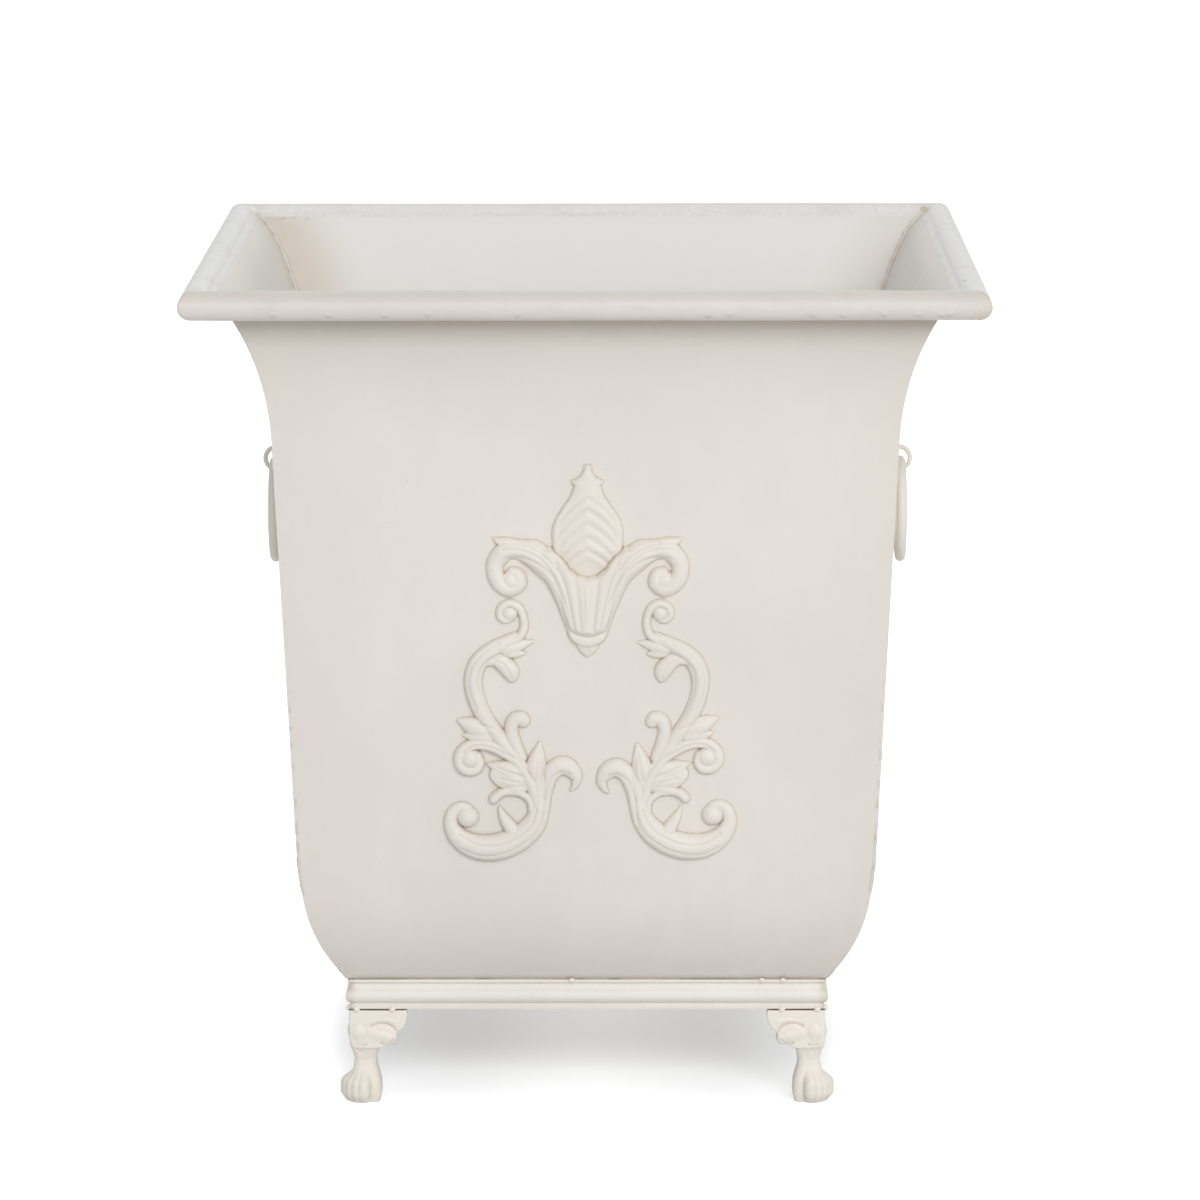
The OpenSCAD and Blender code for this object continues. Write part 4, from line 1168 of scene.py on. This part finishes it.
def paw_foot():
    bm = bmesh.new()
    outline = smooth_line(WING_OUTLINE, 4)
    for swap in (False, True):
        part = bmesh.new()
        ring = [part.verts.new((u, 0, v)) for u, v in outline]
        face = part.faces.new(ring)
        pushed = bmesh.ops.extrude_face_region(part, geom=[face])
        bmesh.ops.translate(part, vec=(0, WING_DEPTH, 0),
                            verts=[g for g in pushed["geom"] if isinstance(g, bmesh.types.BMVert)])
        face_out(part)
        front = [e for e in part.edges if all(abs(v.co.y) < 1e-6 for v in e.verts)]
        bmesh.ops.bevel(part, geom=front, offset=0.9, segments=3, affect="EDGES", profile=0.5,
                        material=-1, clamp_overlap=True)
        if swap:
            bmesh.ops.transform(part, verts=part.verts, matrix=Matrix(
                ((0, 1, 0, 0), (1, 0, 0, 0), (0, 0, 1, 0), (0, 0, 0, 1))))
            bmesh.ops.reverse_faces(part, faces=part.faces)
        join_on(bm, part)

        def laid(x, y, z, radius):
            return (y, x, z, radius) if swap else (x, y, z, radius)

        for balls in WING_LUMPS:
            lump(bm, [laid(*ball) for ball in balls])
    for low, high in zip(LEG[:-1], LEG[1:]):
        lump(bm, squared(*low) + squared(*high))
    lump(bm, [(5.2, 5.2, 41.4, 5.4), (4.9, 4.9, 37.6, 6.2), (5.8, 5.8, 33.6, 5.9)])
    for i in range(TOES):
        a = math.radians(225 + (i - 2) * TOE_STEP)

        def toe(reach, z, radius):
            return (PAW_MIDDLE + reach * math.cos(a), PAW_MIDDLE + reach * math.sin(a), z, radius)

        lump(bm, [toe(3.4, 15.4, 2.8), toe(10.0, 9.6, 3.6)])
        lump(bm, [toe(10.0, 9.6, 3.6), toe(10.2, 5, 3.5), toe(9.0, 2.2, 2.8)])
    clay = object_from(bm, "clay")
    skin = clay.modifiers.new("skin", "REMESH")
    skin.mode = "VOXEL"
    skin.voxel_size = 0.42
    rub = clay.modifiers.new("rub", "SMOOTH")
    rub.factor = 0.5
    rub.iterations = 12
    settle(clay)
    mesh = clay.data
    count = len(mesh.vertices)
    co = np.empty(count * 3)
    mesh.vertices.foreach_get("co", co)
    co = co.reshape(-1, 3)
    normals = np.empty(count * 3, np.float32)
    mesh.vertices.foreach_get("normal", normals)
    normals = normals.reshape(-1, 3).astype(float)
    push = np.zeros(count)
    for line, depth, width in CARVED:
        drawn = smooth_line(line, 6)
        for u, facing in ((co[:, 0], -normals[:, 1]), (co[:, 1], -normals[:, 0])):
            near = np.clip(facing * 1.6 - 0.2, 0, 1) * (np.minimum(co[:, 0], co[:, 1]) < 6)
            push -= near * depth * hump(away_from(drawn, u, co[:, 2]), width)
    angle = np.degrees(np.arctan2(PAW_MIDDLE - co[:, 1], PAW_MIDDLE - co[:, 0]))
    low = np.clip((15.5 - co[:, 2]) / 4, 0, 1)
    for i in range(TOES - 1):
        between = angle - (45 + (i - 1.5) * TOE_STEP)
        outward = np.hypot(co[:, 0] - PAW_MIDDLE, co[:, 1] - PAW_MIDDLE) > 4
        push -= low * outward * 0.2 * hump(between, 3.2)
    co += normals * push[:, None]
    # Flat on the floor, and level under the trim
    co[:, 2] = np.clip(co[:, 2], 0.0, FOOT_HEIGHT - 0.35)
    mesh.vertices.foreach_set("co", co.ravel())
    mesh.update()
    bm = bmesh_of(mesh)
    layer = bm.verts.layers.float.new("wash_and_shade")
    bm.verts.ensure_lookup_table()
    # The wash mask is what lies lower than its smoothed surroundings; the hidden top is painted
    # dark, as painted shade in the gap under the trim
    links = [[e.other_vert(v).index for e in v.link_edges] for v in bm.verts]
    smooth = co.copy()
    for _ in range(6):
        smooth = np.array([smooth[near].mean(axis=0) if near else smooth[i]
                           for i, near in enumerate(links)])
    bm.normal_update()
    for v in bm.verts:
        sunk = float((smooth[v.index] - co[v.index]) @ np.array(v.normal))
        v[layer] = limited(sunk / 0.35)
        if v.normal.z > 0.7 and v.co.z > 48.5:
            v[layer] = 1.0
    bm.to_mesh(mesh)
    bm.free()
    return clay


clay = paw_foot()
print("foot skin", len(clay.data.polygons), "faces")
for back, right in CORNERS:
    bm = bmesh_of(clay.data)
    place = (Matrix.Diagonal((-1 if right else 1, -1 if back else 1, 1, 1))
             @ Matrix.Translation(Vector((-FOOT_CORNER, -FOOT_CORNER, 0)) * MM)
             @ Matrix.Scale(MM, 4))
    bmesh.ops.transform(bm, matrix=place, verts=bm.verts)
    face_out(bm)
    corner = corner_name(back, right)
    finished(object_from(bm, "paw_" + corner), casting_paint, "casting_paint", "foot_" + corner,
             crease=80)
bpy.data.objects.remove(clay)

# %% [markdown]
# The pieces that are right as they came from the CAD model, the bottom plate and the little solder
# tacks, keep their own meshes and only get their paint.

# %% Carried-over pieces
CARRIED = (("bottom_plate", plate_paint, "body_paint"),
           ("foot_solder_tacks", casting_paint, "casting_paint"),
           ("trim_solder_tacks", casting_paint, "casting_paint"))
for name, paint, slot in CARRIED:
    node = nodes[name]
    node.data.materials.clear()
    node.data.materials.append(paint)
print("kept from CAD:", len(CARRIED))

# %% [markdown]
# The planter stands on a plain white floor under soft studio light: a broad panel in front and
# above, three weak ones overhead, on the right and behind, and an even grey world. The world is
# white only to the camera and in reflections. The floor glows towards the camera, least under the
# planter, so that the shadow stays between the feet and the floor round them comes out white.

# %% Floor, lights and world
WHITE, BLACK = (1.0, 1.0, 1.0, 1.0), (0.0, 0.0, 0.0, 1.0)


def seen_directly(tree):
    """1 for what the camera sees, straight, mirrored or through."""
    rays = tree.nodes.new("ShaderNodeLightPath")
    straight = Flow(rays.outputs["Is Camera Ray"])
    mirrored_in = Flow(rays.outputs["Is Glossy Ray"])
    return straight.largest(mirrored_in).largest(Flow(rays.outputs["Is Transmission Ray"]))


bm = bmesh.new()
bmesh.ops.create_grid(bm, x_segments=1, y_segments=1, size=30.0)
floor = object_from(bm, "floor")
white = Finish("floor_white")
seen = seen_directly(white.tree)
floor_x, floor_y, _ = white.coordinates(white.place())
outward = floor_x.absolute().largest(floor_y.absolute())
ahead_of_it = white.between(0.0 - floor_y, -0.01, 0.125)
middle = 1.0 - white.between(floor_x.absolute(), 0.0, 0.08)
beside = white.between(floor_x.absolute(), 0.115, 0.16)
glow = seen * (0.335 + 0.09 * middle + 0.17 * ahead_of_it + 0.4 * beside
               + 0.8 * white.between(outward, 0.13, 0.34))
floor.data.materials.append(white.finish(
    Base_Color=white.blended(seen, (0.72, 0.72, 0.72, 1.0), (0.90, 0.92, 0.95, 1.0)),
    Emission_Color=white.blended(glow.smallest(1.0), BLACK, WHITE), Emission_Strength=1.0,
    Roughness=1.0, Specular_IOR_Level=0.0))


def soft_light(name, place, size, watts):
    data = bpy.data.lights.new(name, "AREA")
    data.shape = "RECTANGLE"
    data.size, data.size_y = size
    data.energy = watts
    lamp = add_object(name, data)
    lamp.location = place
    aim = Vector((0, 0, 0.25)) - Vector(place)
    lamp.rotation_mode = "QUATERNION"
    lamp.rotation_quaternion = aim.to_track_quat("-Z", "Y")


soft_light("key", (0.7, -3.2, 1.7), (2.2, 1.1), 52.5)
soft_light("top", (0.0, 0.2, 2.8), (2.4, 2.4), 4.0)
soft_light("right", (2.6, -0.4, 1.2), (1.4, 1.8), 4.0)
soft_light("back", (-0.4, 3.0, 1.3), (2.2, 1.4), 6.0)

world = bpy.data.worlds.new("studio")
bpy.context.scene.world = world
world.use_nodes = True
tree = world.node_tree
tree.nodes.clear()


def even_light(strength):
    node = tree.nodes.new("ShaderNodeBackground")
    node.inputs["Color"].default_value = WHITE
    node.inputs["Strength"].default_value = strength
    return node.outputs[0]


AMBIENT, BACKDROP = 0.5, 1.0
pick = tree.nodes.new("ShaderNodeMixShader")
for socket, source in zip(pick.inputs, (seen_directly(tree).socket, even_light(AMBIENT),
                                        even_light(BACKDROP))):
    tree.links.new(source, socket)
result = tree.nodes.new("ShaderNodeOutputWorld")
tree.links.new(pick.outputs[0], result.inputs[0])

bpy.context.scene.view_settings.view_transform = "Standard"
